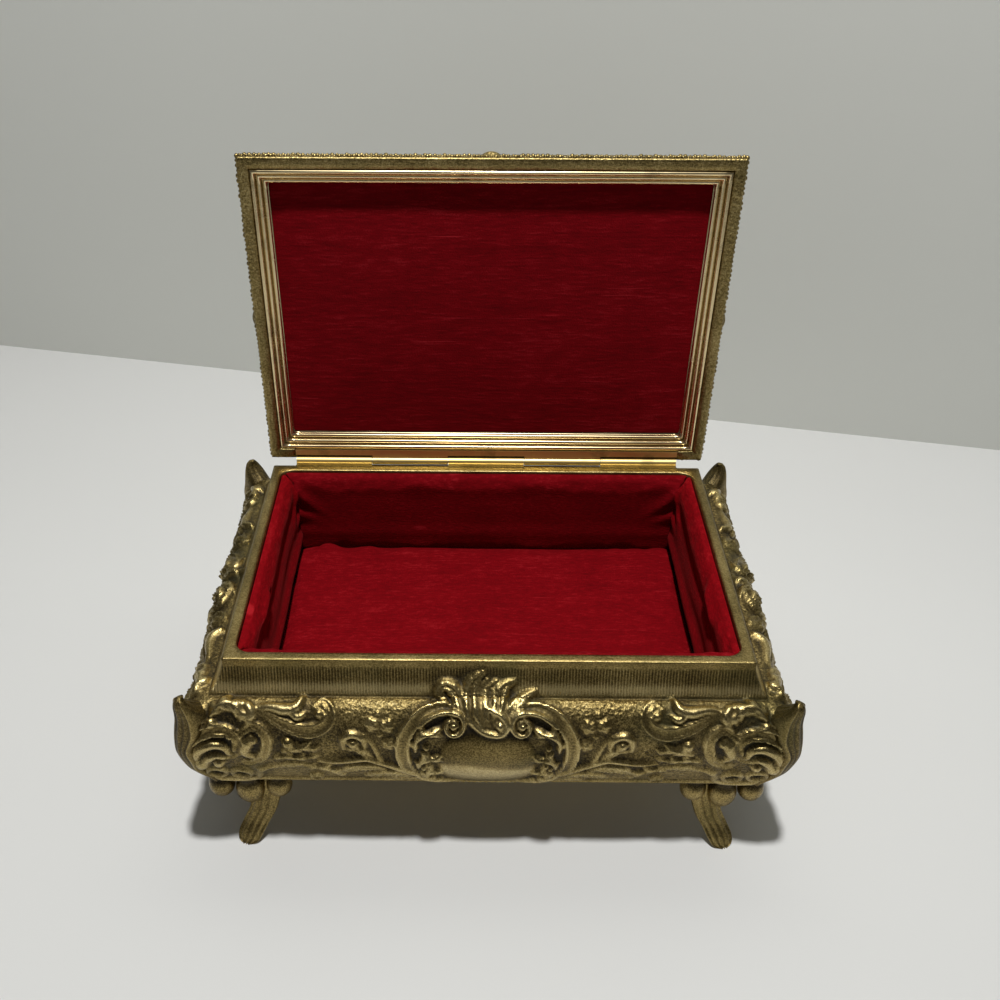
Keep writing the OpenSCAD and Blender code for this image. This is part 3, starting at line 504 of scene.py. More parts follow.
class Carving:
    """Heights over a patch of points, raised by one form after another."""

    def __init__(self, x, s):
        self.x, self.s = x, s
        self.height = np.zeros_like(x)
        # dark stores painted shade for the eyes' pits
        self.dark = np.zeros_like(x)
        # tone stores a painted reflection on the plaque
        self.tone = np.zeros_like(x)

    def near(self, line, reach):
        """The points near a line: which they are, how far off, on which side, how far along."""
        low, high = line.min(0) - reach, line.max(0) + reach
        chosen = np.nonzero((self.x > low[0]) & (self.x < high[0]) & (self.s > low[1]) & (self.s < high[1]))
        p = np.stack([self.x[chosen], self.s[chosen]], -1)[:, None]
        a, ab = line[:-1], np.diff(line, axis=0)
        length = np.linalg.norm(ab, axis=1) + 1e-9
        t = np.clip(((p - a) * ab).sum(-1) / length ** 2, 0, 1)
        off = p - (a + ab * t[..., None])
        distance = np.linalg.norm(off, axis=-1)
        best = distance.argmin(1)
        rows = np.arange(len(best))
        side = np.sign(ab[best, 0] * off[rows, best, 1] - ab[best, 1] * off[rows, best, 0])
        before = np.concatenate([[0], np.cumsum(length)])
        run = (before[best] + t[rows, best] * length[best]) / before[-1]
        return chosen, distance[rows, best], side, run, before[-1]

    def raise_to(self, chosen, height):
        self.height[chosen] = np.maximum(self.height[chosen], height)

    def ridge(self, points, width, height, flat=2.0):
        """A rounded ridge, as wide and high as the lists say from end to end."""
        chosen, d, _, t, _ = self.near(spline(points), max(width))
        w = np.maximum(swell(width, t), 0.05)
        self.raise_to(chosen, swell(height, t) * np.sqrt(np.clip(1 - (d / w) ** flat, 0, 1)))

    def band(self, points, width, height, ribs=0.0):
        """A band with raised edges and a trough, crossed by fine ribs."""
        chosen, d, _, t, length = self.near(spline(points), max(width))
        w = np.maximum(swell(width, t), 0.05)
        r = d / w
        body = 0.42 + 0.58 * np.exp(-((r - 0.74) / 0.2) ** 2)
        edge = np.clip((1 - r) / 0.18, 0, 1)
        hatch = 1 + ribs * np.cos(2 * np.pi * t * length / 0.95) * np.exp(-(r / 0.5) ** 4)
        self.raise_to(chosen, swell(height, t) * body * np.sqrt(edge) * hatch)

    def leaf(self, points, width, height, veins=0.12, rib=0.35):
        """A tapering leaf with a sunk midrib and slanting veins."""
        chosen, d, _, t, length = self.near(spline(points), max(width))
        w = np.maximum(swell(width, t), 0.05)
        r = d / w
        groove = 1 - rib * np.exp(-(r / 0.16) ** 2)
        vein = 1 + veins * np.cos(2 * np.pi * (t * length / 1.5 - r * 0.9))
        self.raise_to(chosen, swell(height, t) * np.clip(1 - r ** 2.4, 0, 1) ** 0.6 * groove * vein)

    def acanthus(self, points, width, height, lobes=4, sides=(-1, 1)):
        """A leaf with a scalloped edge: short rounded lobes that lean along a midrib."""
        spine = spline(points)
        t = np.linspace(0, 1, len(spine))
        for place in (np.arange(lobes) + 0.35) / lobes:
            root = np.array([np.interp(place, t, spine[:, k]) for k in (0, 1)])
            ahead = np.array([np.interp(min(place + 0.08, 1), t, spine[:, k]) for k in (0, 1)]) - root
            ahead /= np.linalg.norm(ahead) + 1e-9
            w, h = float(swell(width, place)), float(swell(height, place))
            for side in sides:
                out = np.array([-ahead[1], ahead[0]]) * side
                tip = root + (ahead * 0.9 + out * 0.8) * w
                self.ridge([root, (root + tip) / 2 + ahead * 0.1 * w, tip],
                           [0.66 * w, 0.72 * w, 0.46 * w], [h, 0.92 * h, 0.62 * h])
        self.ridge(points, [0.34 * w for w in width], [1.10 * h for h in height])

    def bead(self, x, s, radius, height):
        d = np.hypot(self.x - x, self.s - s) / radius
        chosen = np.nonzero(d < 1)
        self.raise_to(chosen, height * np.sqrt(1 - d[chosen] ** 2))

    def eye(self, x, s, radius, height, depth=0.7, squash=1.0):
        """A raised ring round a pit, whose dark is stored as painted shade."""
        d = np.hypot(self.x - x, (self.s - s) / squash) / radius
        chosen = np.nonzero(d < 1.05)
        ring = np.clip(1 - ((d[chosen] - 0.74) / 0.3) ** 2, 0, 1)
        pit = np.clip((0.66 - d[chosen]) / 0.2, 0, 1)
        self.height[chosen] = np.where(d[chosen] < 0.74, height * ring * (1 - pit) - depth * pit,
                                       np.maximum(self.height[chosen], height * ring))
        self.dark[chosen] = np.maximum(self.dark[chosen], pit)

    def volute(self, x, s, radius, turns, start, hand, width, height):
        """A spiral ridge that winds in to a bead."""
        t = np.linspace(0, 1, 26)
        angle = start + hand * 2 * math.pi * turns * t
        r = radius * (1 - 0.82 * t)
        line = np.stack([x + r * np.cos(angle), s + r * np.sin(angle)], -1)
        self.ridge(line[::2], [width, width * 0.6], [height, height * 0.95])
        self.bead(x, s, radius * 0.34, height * 1.15)

    def fan(self, x, s, start, end, inner, outer, lobes, width, height):
        """Lobes spread like the ribs of a shell."""
        for angle in np.linspace(start, end, lobes):
            c, n = math.cos(angle), math.sin(angle)
            self.ridge([(x + inner * c, s + inner * n), (x + outer * c, s + outer * n)],
                       [width * 0.45, width, width * 0.9], [height * 0.6, height, height * 0.8])


# %% [markdown]
# ## The casing
#
# The wall is drawn once, as how far it stands out at each depth below the rim: a plain
# fillet, a fluted cove, a swelling belly and a hem. The ornament is symmetrical like most
# cast caskets of this kind, apart from the crest over the plaque, which leans to one side.

# %% The wall's outline
FILLET, COVE_FOOT, BELLY, HEM = 1.4, 10.0, 25.0, 43.4
COVE_OUT, BELLY_OUT, HEM_OUT = 4.2, 12.3, 7.6
WALL, RIM_BAND, RIM_THICK, OPENING_RADIUS = 2.4, 3.2, 3.0, 4.5


def wall_line():
    """Points down the outside of the wall, as out past the rim and depth below it."""
    a, b = np.array([0, FILLET]), np.array([COVE_OUT, COVE_FOOT])
    across = np.array([b[1] - a[1], a[0] - b[0]]) / np.linalg.norm(b - a)
    cove = [a + (b - a) * t - across * 0.9 * 4 * t * (1 - t) for t in np.linspace(0, 1, 25)]
    swell_out = [(COVE_OUT + 0.4 + (BELLY_OUT - COVE_OUT - 0.4) * math.sin(q),
                  BELLY - (BELLY - COVE_FOOT - 0.4) * math.cos(q)) for q in np.linspace(0, math.pi / 2, 40)]
    tuck = [(BELLY_OUT - (BELLY_OUT - HEM_OUT) * t * t, BELLY + (HEM - 1.8 - BELLY) * t)
            for t in np.linspace(0, 1, 30)[1:]]
    return np.array([(0, 0.25)] + [tuple(q) for q in cove] + swell_out + tuck + [(HEM_OUT, HEM)])


line = wall_line()
steps = np.linalg.norm(np.diff(line, axis=0), axis=1)
run_down = np.concatenate([[0], np.cumsum(steps)])
WALL_ROWS = 96
row_run = np.linspace(0, run_down[-1], WALL_ROWS)
row_out = np.interp(row_run, run_down, line[:, 0])
row_depth = np.interp(row_run, run_down, line[:, 1])
print("wall runs", round(float(run_down[-1]), 1), "mm from rim to hem")


def down(depth):
    """How far down the wall's surface a depth below the rim lies."""
    return float(np.interp(depth, line[:, 1], run_down))


def laid(points):
    """Points given as across and depth, laid on the flattened wall."""
    return [(x, down(d)) for x, d in points]


# %% The ornament of one corner, one front and one end
def corner_ornament(carve, corner, hand):
    """Scrolls and shell next to a corner; corner is its place along the side."""
    def at(points):
        return laid([(corner + hand * x, d) for x, d in points])

    def spot(x, d):
        return corner + hand * x, down(d)

    # The long reeded scroll, its eye and the leaf that rides in it
    carve.band(at([(-9.1, 11.5), (-12.3, 13.0), (-15.8, 14.5), (-19.9, 16.1), (-24.1, 16.9), (-27.7, 16.1),
                   (-30.2, 14.1), (-30.6, 11.9), (-28.7, 10.7), (-26.5, 11.4)]),
               [0.4, 0.9, 1.5, 1.9, 2.2, 2.3, 2.0, 1.7, 1.3, 0.9], [0.5, 0.9, 1.3, 1.5, 1.7, 1.8, 1.8, 1.7, 1.5, 1.2], ribs=0.14)
    carve.bead(*spot(-27.6, 12.6), 1.5, 1.7)
    carve.ridge(at([(-9.5, 11.6), (-13.7, 11.4), (-17.9, 11.9), (-21.2, 11.4), (-22.9, 10.4)]),
                [0.7, 1.2, 1.7, 1.6, 0.9], [0.8, 1.4, 2.0, 2.1, 1.5])
    carve.ridge(at([(-19.0, 12.4), (-21.8, 13.3), (-23.4, 12.6)]), [0.8, 1.4, 0.8], [1.3, 2.0, 1.3])
    # Two leaves lie over the shell
    carve.acanthus(at([(3.0, 13.2), (0.8, 11.4), (-2.4, 11.0), (-5.4, 12.0), (-6.6, 13.8)]),
                   [1.6, 2.2, 2.4, 1.9, 1.2], [1.5, 2.1, 2.4, 2.2, 1.4], lobes=4)
    carve.ridge(at([(-5.1, 10.9), (-7.6, 11.4), (-8.6, 12.9), (-7.3, 14.6)]), [0.8, 1.4, 1.5, 0.9], [1.2, 1.9, 2.0, 1.3])
    carve.leaf(at([(7.6, 10.0), (6.2, 12.0), (5.8, 15.4)]), [0.9, 1.7, 0.9], [1.3, 2.0, 1.4], veins=0.06)
    carve.bead(*spot(3.0, 15.1), 1.9, 2.0)
    # The shell: one bold rim and the lobes inside it
    carve.band(at([(12.3, 28.0), (10.3, 21.4), (6.5, 18.0), (1.6, 16.7), (-2.4, 17.5), (-4.2, 20.2), (-3.4, 24.0), (-0.8, 27.0)]),
               [1.4, 1.9, 2.1, 2.1, 2.0, 1.8, 1.5, 0.8], [1.5, 2.0, 2.2, 2.3, 2.2, 2.0, 1.7, 1.1], ribs=0.08)
    carve.ridge(at([(10.0, 30.2), (7.6, 24.0), (3.4, 21.4), (0.3, 22.0), (-0.9, 24.8)]),
                [0.9, 1.6, 1.8, 1.6, 1.0], [1.2, 2.1, 2.4, 2.3, 1.5])
    carve.ridge(at([(8.4, 32.4), (5.8, 27.6), (3.0, 25.6), (0.8, 26.8)]), [0.8, 1.5, 1.5, 0.9], [1.1, 2.2, 2.3, 1.5])
    carve.bead(*spot(7.4, 29.6), 2.4, 2.6)
    carve.bead(*spot(2.6, 29.4), 1.8, 2.1)
    # The curl beside it, with a lobe in its eye
    carve.band(at([(-4.6, 18.8), (-6.8, 16.4), (-9.5, 15.7), (-11.9, 17.8), (-12.3, 21.2), (-10.7, 25.8), (-7.4, 28.8), (-4.2, 29.2)]),
               [0.8, 1.3, 1.6, 1.7, 1.7, 1.5, 1.2, 0.8], [1.1, 1.6, 1.8, 1.9, 1.9, 1.7, 1.4, 1.0], ribs=0.08)
    carve.ridge(at([(-8.1, 18.8), (-6.7, 21.4), (-5.6, 24.2), (-7.2, 26.4)]), [1.2, 1.7, 1.6, 1.0], [1.4, 2.0, 1.9, 1.2])
    carve.bead(*spot(-8.6, 20.0), 1.4, 1.9)
    carve.fan(*spot(-9.6, 24.6), 1.2, 2.6, 0.8, 3.0, 3, 0.6, 1.1)
    # The pair of eyes cut through the casting over the foot; the dark in their pits is painted shade
    carve.ridge(at([(-8.4, 33.6), (-7.2, 38.8), (-1.0, 41.4), (5.0, 40.6), (9.6, 36.8)]),
                [0.7, 1.2, 1.3, 1.2, 0.8], [1.0, 1.6, 1.7, 1.6, 1.0])
    for x, d in ((4.3, 35.2), (-2.8, 36.0)):
        carve.eye(*spot(x, d), 3.5, 1.5, 1.5, squash=1.05)
    # Small leaves that fill the ground on the way to the middle
    carve.bead(*spot(-18.2, 20.8), 1.9, 2.0)
    carve.acanthus(at([(-16.0, 24.0), (-19.6, 22.8), (-23.4, 22.0), (-26.4, 23.4)]), [1.2, 1.9, 1.8, 1.0], [1.2, 1.8, 1.7, 1.0], lobes=4)
    carve.acanthus(at([(-13.4, 27.2), (-17.4, 26.0), (-22.0, 26.4), (-27.0, 26.0)]), [1.0, 1.6, 1.6, 0.8], [1.0, 1.5, 1.5, 0.9], lobes=4)
    carve.ridge(at([(-12.8, 31.8), (-9.4, 33.4), (-7.0, 37.0)]), [0.5, 1.2, 0.7], [0.8, 1.3, 0.9])
    carve.leaf(at([(-24.0, 31.0), (-18.5, 30.0), (-13.0, 32.2)]), [0.6, 1.7, 0.7], [0.8, 1.3, 0.8])


def spray(carve, start, hand, length):
    """Buds on a bending stem, and the leafy edge that runs down to the hem."""
    def at(points):
        return laid([(start + hand * x * length, d) for x, d in points])

    def spot(x, d):
        return start + hand * x * length, down(d)

    # A curled bud, its leaf and its stem
    carve.ridge(at([(15.3, 22.8), (15.7, 19.0), (18.1, 17.7), (20.8, 19.0), (21.5, 21.9)]),
                [0.8, 1.2, 1.4, 1.2, 0.7], [1.1, 1.8, 2.0, 1.8, 1.1])
    carve.bead(*spot(18.2, 20.8), 1.7, 2.0)
    carve.leaf(at([(16.8, 23.2), (19.7, 22.8), (23.5, 26.4)]), [0.8, 1.6, 0.7], [1.1, 1.7, 1.0])
    carve.ridge(at([(21.6, 17.6), (24.0, 22.2), (25.8, 27.4), (29.6, 31.8)]), [0.5, 0.7, 0.7, 0.5], [0.8, 1.2, 1.2, 0.8])
    # Blossoms, each a few petals round a bead
    for x, d in ((23.6, 15.0), (28.2, 15.4), (28.4, 20.9)):
        for petal in range(5):
            q = 2 * math.pi * petal / 5 + 0.4 * x
            carve.bead(start + hand * (x + 1.35 * math.cos(q)) * length, down(d) + 1.35 * math.sin(q), 0.95, 1.3)
        carve.bead(*spot(x, d), 0.8, 1.7)
    for x, d in ((25.8, 18.0), (31.0, 18.0), (25.4, 12.4), (31.0, 23.8)):
        carve.bead(*spot(x, d), 0.9, 1.1)
    # The skirt line, with its leaves below
    carve.ridge(at([(7.4, 28.4), (13.9, 28.0), (17.6, 27.3), (22.0, 26.7), (25.5, 28.3), (29.7, 30.7), (34.2, 34.2), (38.4, 38.0)]),
                [0.6, 1.0, 1.0, 1.1, 1.1, 1.1, 1.0, 0.6], [0.9, 1.6, 1.7, 1.7, 1.7, 1.7, 1.5, 0.9])
    carve.leaf(at([(13.4, 34.6), (17.0, 31.2), (22.0, 30.4), (26.8, 32.6)]), [0.7, 1.9, 2.0, 0.8], [1.1, 1.8, 1.8, 1.0])
    carve.leaf(at([(20.6, 37.6), (24.8, 34.6), (29.6, 34.4), (34.0, 38.0)]), [0.7, 1.8, 1.9, 0.7], [1.0, 1.7, 1.7, 0.9])
    carve.acanthus(at([(4.4, 31.6), (8.6, 31.0), (12.4, 33.6), (14.6, 37.6)]), [1.1, 1.8, 1.7, 1.0], [1.1, 1.6, 1.6, 1.0], lobes=4)
    carve.eye(*spot(6.0, 38.4), 2.3, 1.5, 1.5, squash=0.8)
    carve.leaf(at([(27.0, 40.6), (31.5, 39.0), (36.5, 41.2)]), [0.6, 1.3, 0.6], [0.8, 1.3, 0.8])


def cartouche(carve, half, top):
    """The smooth plaque in its frame of scrolls, mirrored about the middle."""
    x = carve.x / half
    y = (carve.s - down(28.4)) / (down(41.8) - down(28.4))
    y = np.where(y < 0, y * 1.12, y)
    dome = np.clip(1 - np.abs(x) ** 2.6 - np.abs(y) ** 2.4, 0, 1)
    plaque_height = 2.0 * dome ** 0.45
    carve.raise_to(np.nonzero(dome > 0), plaque_height[dome > 0])
    k = half / 14.5
    for hand in (-1, 1):
        def at(points):
            return laid([(hand * px * k, d) for px, d in points])
        carve.band(at([(20.4, 35.4), (23.0, 30.6), (24.2, 25.2), (24.0, 20.2), (22.7, 16.6), (20.2, 13.6), (17.0, 12.0),
                       (13.2, 11.4), (9.3, 11.7), (6.9, 13.0), (6.7, 15.0), (8.6, 16.0)]),
                   [0.9, 1.6, 2.1, 2.3, 2.3, 2.2, 2.1, 1.9, 1.6, 1.3, 1.1, 0.8],
                   [1.2, 1.8, 2.1, 2.2, 2.2, 2.2, 2.2, 2.2, 2.2, 2.2, 2.1, 1.9], ribs=0.12)
        carve.volute(hand * 9.8 * k, down(14.9), 3.5 * k, 1.5, math.radians(-90), -hand, 1.0 * k, 3.0)
        carve.ridge(at([(19.4, 15.4), (15.4, 12.9), (11.6, 12.2), (8.6, 12.6)]), [0.5, 0.7, 0.8, 0.8], [2.2, 2.6, 2.9, 3.0])
        carve.acanthus(at([(20.6, 23.2), (20.0, 19.0), (17.0, 17.2), (13.0, 17.8)]), [1.4, 2.1, 2.2, 1.4], [1.7, 2.4, 2.6, 1.8],
                       lobes=3, sides=(hand,))
        carve.acanthus(at([(20.0, 30.8), (18.9, 27.2), (16.3, 25.9), (13.2, 26.6)]), [1.3, 1.9, 2.0, 1.2], [1.6, 2.3, 2.4, 1.7],
                       lobes=3, sides=(hand,))
        carve.acanthus(at([(19.0, 36.4), (17.6, 33.4), (15.2, 32.4), (13.0, 33.4)]), [1.2, 1.7, 1.7, 1.1], [1.5, 2.1, 2.2, 1.5],
                       lobes=3, sides=(hand,))
        for px, d in ((17.4, 22.2), (18.2, 24.2), (17.0, 30.0), (18.4, 31.4), (17.6, 36.6), (15.8, 38.4), (13.6, 39.6)):
            carve.bead(hand * px * k, down(d), 0.95, 1.7)
        carve.ridge(at([(22.0, 33.0), (20.2, 36.8), (15.4, 40.0), (8.0, 41.2)]), [0.7, 1.2, 1.2, 0.8], [1.0, 1.7, 1.7, 1.1])
    for x0 in np.linspace(-12 * k, 12 * k, 15):
        carve.bead(x0, down(42.0), 0.95, 1.3)
    if top:
        crest(carve)
    # painted reflection: the plain plaque is darkened towards its top, as a dark room would show in it, and lightened
    # towards its bottom, as the white table would
    on_plaque = (dome > 0) & (carve.height < plaque_height + 0.02)
    shade = np.clip((0.04 + 0.07 * np.sin(3 * x) - y) / 0.16 + 0.5, 0, 1)
    carve.tone[on_plaque] = (0.25 - 1.5 * shade)[on_plaque]


def crest(carve):
    """The spray of broad plumes that grows over the plaque and leans to the right."""
    carve.leaf(laid([(-3.8, 15.0), (-6.8, 12.0), (-9.6, 8.6), (-12.4, 7.4), (-13.8, 9.2), (-11.8, 10.8)]),
               [1.3, 2.0, 2.8, 2.6, 1.8, 1.0], [1.3, 1.9, 2.3, 2.3, 1.8, 1.2], veins=0.07, rib=0.45)
    carve.leaf(laid([(-1.6, 16.0), (-4.6, 12.4), (-5.0, 8.4), (-3.4, 5.2), (-1.2, 3.4)]),
               [1.8, 2.8, 3.0, 2.6, 1.0], [1.8, 2.4, 2.6, 2.3, 1.3], veins=0.07, rib=0.5)
    carve.leaf(laid([(-1.6, 15.4), (-2.0, 11.0), (-1.6, 8.0), (-0.2, 5.8)]), [1.6, 2.4, 2.2, 1.0], [1.6, 2.1, 2.0, 1.2], veins=0.07)
    carve.leaf(laid([(1.0, 15.0), (0.6, 11.6), (0.6, 8.6), (2.2, 6.4)]), [2.0, 2.8, 2.6, 1.2], [1.6, 2.1, 2.0, 1.2], veins=0.07, rib=0.45)
    carve.leaf(laid([(2.4, 14.2), (3.0, 10.8), (4.2, 8.0), (7.2, 6.2)]), [1.8, 2.6, 2.6, 1.1], [1.7, 2.3, 2.3, 1.2], veins=0.07, rib=0.5)
    carve.leaf(laid([(4.0, 14.0), (7.0, 11.4), (10.6, 10.0), (13.4, 8.6)]), [1.4, 2.2, 2.2, 0.8], [1.5, 2.1, 2.1, 1.0], veins=0.08, rib=0.35)
    carve.leaf(laid([(4.6, 14.6), (7.4, 13.2), (10.2, 12.8)]), [1.0, 1.5, 0.7], [1.6, 2.1, 1.2])
    carve.ridge(laid([(-0.6, 11.4), (1.6, 12.0), (4.0, 12.8), (5.6, 14.8), (4.0, 16.9), (0.8, 17.0), (-2.4, 15.8), (-4.6, 13.8)]),
                [0.6, 1.0, 1.2, 1.2, 1.2, 1.3, 1.2, 0.8], [2.3, 2.7, 2.8, 2.8, 2.8, 2.7, 2.3, 1.5])
    carve.bead(3.4, down(14.9), 1.6, 3.0)


def carve_front(x, s):
    carve = Carving(x, s)
    cartouche(carve, 14.5, True)
    for hand in (-1, 1):
        spray(carve, hand * 56.4, -hand, 1.0)
        corner_ornament(carve, hand * HALF_W, hand)
    return carve


def carve_end(x, s):
    carve = Carving(x, s)
    cartouche(carve, 8.6, False)
    carve.leaf(laid([(0, 15.0), (-1.2, 11.0), (0, 7.6)]), [1.2, 1.8, 0.6], [1.6, 2.3, 1.2])
    for hand in (-1, 1):
        carve.leaf(laid([(hand * 1.5, 14.4), (hand * 5.0, 11.0), (hand * 9.0, 10.4)]), [1.0, 1.6, 0.5], [1.5, 2.1, 1.0])
        corner_ornament(carve, hand * HALF_D, hand)
        carve.bead(hand * 20.4, down(20.6), 1.9, 1.8)
        carve.leaf(laid([(hand * 26, 29.0), (hand * 21, 27.0), (hand * 17, 30.4), (hand * 15.4, 35.4)]),
                   [0.5, 1.4, 1.3, 0.5], [0.7, 1.4, 1.3, 0.7])
        for px, d in ((19.0, 15.0), (17.2, 17.6), (18.6, 24.4)):
            carve.bead(hand * px, down(d), 1.2, 1.3)
    return carve


# %% [markdown]
# The rings run from the edge of the opening over the rim, down the outside and back up the
# inside, so the casing is one closed skin. Only the rows on the outside are carved. The
# carved height is also blurred: where the blur is higher than the carving, the point sits
# in a hollow, and that is where the dark wash stays.

# %% Skin the casing
ring = Ring(front=230, back=150, side=104, corner=30)
side_of = ring.sides()
columns = len(side_of)


def blur(grid, width):
    """A box blur, wrapped round the ring and held at the rows' ends."""
    kernel = np.ones(2 * width + 1) / (2 * width + 1)
    wrapped = np.concatenate([grid[:, -width:], grid, grid[:, :width]], 1)
    across = np.apply_along_axis(lambda r: np.convolve(r, kernel, "valid"), 1, wrapped)
    padded = np.concatenate([across[:1].repeat(width, 0), across, across[-1:].repeat(width, 0)], 0)
    return np.apply_along_axis(lambda c: np.convolve(c, kernel, "valid"), 0, padded)


outer = np.stack([ring.outline(HALF_W + o, HALF_D + o, 0.35) for o in row_out])
across_side = np.where(np.isin(side_of, (0, 2)), outer[..., 0], outer[..., 1])
across_side = across_side * np.where(np.isin(side_of, (0, 1)), 1, -1)
surface_run = np.repeat(row_run[:, None], columns, 1)

height = np.zeros_like(across_side)
eye_pit_painted_shade = np.zeros_like(across_side)
painted_plaque_reflection = np.zeros_like(across_side)
for side_index, carver in ((0, carve_front), (1, carve_end), (2, carve_front), (3, carve_end)):
    on_side = side_of == side_index
    relief = carver(across_side[:, on_side], surface_run[:, on_side])
    height[:, on_side], eye_pit_painted_shade[:, on_side], painted_plaque_reflection[:, on_side] = relief.height, relief.dark, relief.tone

# The carving dies away under the corner leaves, and only the crest climbs into the cove
from_corner = np.where(np.isin(side_of, (0, 2)), HALF_W, HALF_D)[None, :] + row_out[:, None] - np.abs(across_side)
crest_half = np.where(np.isin(side_of, (0, 2)), 17, 12)[None, :]
in_frieze = np.clip((surface_run - down(10.0)) / 0.7, 0, 1)
height *= np.clip((from_corner - 0.8) / 2.6, 0, 1) * np.where(np.abs(across_side) < crest_half, 1, in_frieze)
soft_foot = blur(np.clip(height, 0, 0.9), 3) * (1 - eye_pit_painted_shade)
height = np.maximum(height, 0.6 * soft_foot) + 0.15 * soft_foot
incised = np.exp(-((surface_run - down(10.2)) / 0.35) ** 2) * (height < 0.2)
hem_bead = np.clip(1 - ((surface_run - down(42.5)) / 0.8) ** 2, 0, 1) ** 0.5 * 0.55
height = np.maximum(height, hem_bead) - 0.3 * incised

# Near a mitre the two sides' heights are pushed out along the diagonal between them
half_here = np.where(np.isin(side_of, (0, 2)), HALF_W, HALF_D)[None, :] + row_out[:, None]
from_mitre = half_here - np.abs(across_side)
lean = np.clip(1 - from_mitre / 4.0, 0, 1) * np.sign(across_side)
slope = np.gradient(np.stack([row_out, -row_depth], -1), row_run, axis=0)
slope /= np.linalg.norm(slope, axis=1)[:, None]
out_part, up_part = -slope[:, 1], slope[:, 0]
facing = np.array([(0, -1), (1, 0), (0, 1), (-1, 0)])[side_of]
sideways = np.array([(1, 0), (0, 1), (-1, 0), (0, -1)])[side_of]
push = facing[None] + sideways[None] * lean[..., None]

wall_points = np.concatenate([
    outer + push * (height * out_part[:, None])[..., None],
    (-row_depth[:, None] + height * up_part[:, None])[..., None],
], -1)

# The hinge leaf lies in a flat pocket at the top of the back
HINGE_HALF, POCKET = 67.3, 5.9
pocket = (side_of == 2)[None] & (np.abs(outer[..., 0]) < HINGE_HALF) & (row_depth < POCKET)[:, None]
ledge = np.where(row_depth[:, None] < 0.15, 0.0, 0.7) * np.ones_like(outer[..., 0])
wall_points[..., 1][pocket] = HALF_D + ledge[pocket]
wall_points[..., 2][pocket & (row_depth < 0.6)[:, None]] = -0.05

rim_rows = [(-RIM_BAND, RIM_THICK, OPENING_RADIUS), (-RIM_BAND, 0.3, OPENING_RADIUS), (-RIM_BAND + 0.3, 0.0, OPENING_RADIUS),
            (-2.1, 0.0, 2.5), (-1.2, 0.0, 1.2), (-0.3, 0.0, 0.4)]
inner_rows = [(HEM_OUT - 0.4, HEM, 0.4), (HEM_OUT - WALL, HEM, 0.4)]
for d in np.linspace(HEM - 2, RIM_THICK, 9):
    inner_rows.append((float(np.interp(d, line[:, 1], line[:, 0])) - WALL, d, 0.4))


def plain_ring(out, depth, radius):
    flat = ring.outline(HALF_W + out, HALF_D + out, radius)
    return np.concatenate([flat, np.full((columns, 1), -depth)], 1)


casing_rings = ([plain_ring(*row) for row in rim_rows] + list(wall_points)
                + [plain_ring(*row) for row in inner_rows])
casing_points = np.concatenate(casing_rings)
casing_points[:, 1] += MIDDLE_Y
casing_points[:, 2] += RIM_Z

stored = {name: np.zeros((len(casing_rings), columns)) for name in ("high", "wash_and_shade", "ground", "reeded", "across")}
top, bottom = len(rim_rows), len(rim_rows) + WALL_ROWS
around = blur(height, 3)
wide_around = blur(height, 7)
stored["high"][top:bottom] = np.clip(height / 2.2, 0, 1)
stored["wash_and_shade"][top:bottom] = np.clip((around - height) * 1.1 + (wide_around - height) * 0.35, -0.3, 1)
# painted shade: the eyes' pits are made almost black
stored["wash_and_shade"][top:bottom] = np.maximum(stored["wash_and_shade"][top:bottom], 1.6 * eye_pit_painted_shade)
# painted shade: the underside of the hem, below its bead, is stored darker
stored["wash_and_shade"][top:bottom] += np.clip((surface_run - down(42.4)) / 0.8, 0, 1) * 0.9
plain = np.clip(1 - height / 0.3, 0, 1)
# painted highlight: the plain lower part of the cove is stored lighter, as if lit from above
painted_cove_light = np.exp(-((surface_run - down(8.3)) / 1.5) ** 2)
# the polish number also carries the cove's painted highlight and the plaque's painted reflection
stored["high"][top:bottom] += plain * painted_cove_light * 2.2 + painted_plaque_reflection
stored["wash_and_shade"][top:bottom] += plain * np.exp(-((surface_run - down(9.75)) / 0.22) ** 2)
frieze = (surface_run > down(10.4)) & (surface_run < down(41.5))
stored["ground"][top:bottom] = np.where(frieze, np.clip(1 - height / 0.35, 0, 1), 0)
in_cove = np.clip((surface_run - down(2.2)) / 1.0, 0, 1) * np.clip((down(9.7) - surface_run) / 0.6, 0, 1)
# painted shade: the cove, which faces down and out, is stored a little darker
stored["wash_and_shade"][top:bottom] += in_cove * 0.12
stored["reeded"][top:bottom] = in_cove * np.clip(1 - height / 0.3, 0, 1)
stored["across"][top:bottom] = across_side
stored["high"][:top] = 0.3

casing = piece("casing", casing_points, skin(casing_rings), CASING_GILT, "base", "cast_gilt",
               paints={name: values.ravel() for name, values in stored.items()})
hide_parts("body_shell")

# %% [markdown]
# ## Corner leaves
#
# A big plain leaf wraps every corner. It lies on the belly, stands off the cove and ends in
# a tip that curls free. Cut level, it is a bent sheet with a crest on the corner. So it is
# lofted from the top down: each level has a reach, a half width and a thickness.

# %% Leaves on the mitres
LEAF_LEVELS = [  # depth below the rim, reach beyond it, half width, thickness, how free it stands
    (4.8, 10.6, 0.6, 1.4, 1), (5.8, 11.6, 1.7, 2.4, 1), (7.8, 12.2, 2.7, 4, 0.85), (10.4, 12.7, 3.6, 7, 0.45),
    (13.0, 13.2, 4.3, 12, 0.15), (16.0, 13.9, 4.5, 20, 0), (20.0, 14.5, 4.0, 20, 0), (24.6, 14.7, 3.4, 20, 0),
    (31.0, 13.6, 2.9, 20, 0), (36.0, 11.9, 2.6, 20, 0), (40.0, 10.2, 2.3, 20, 0), (43.0, 8.9, 2.0, 20, 0),
]


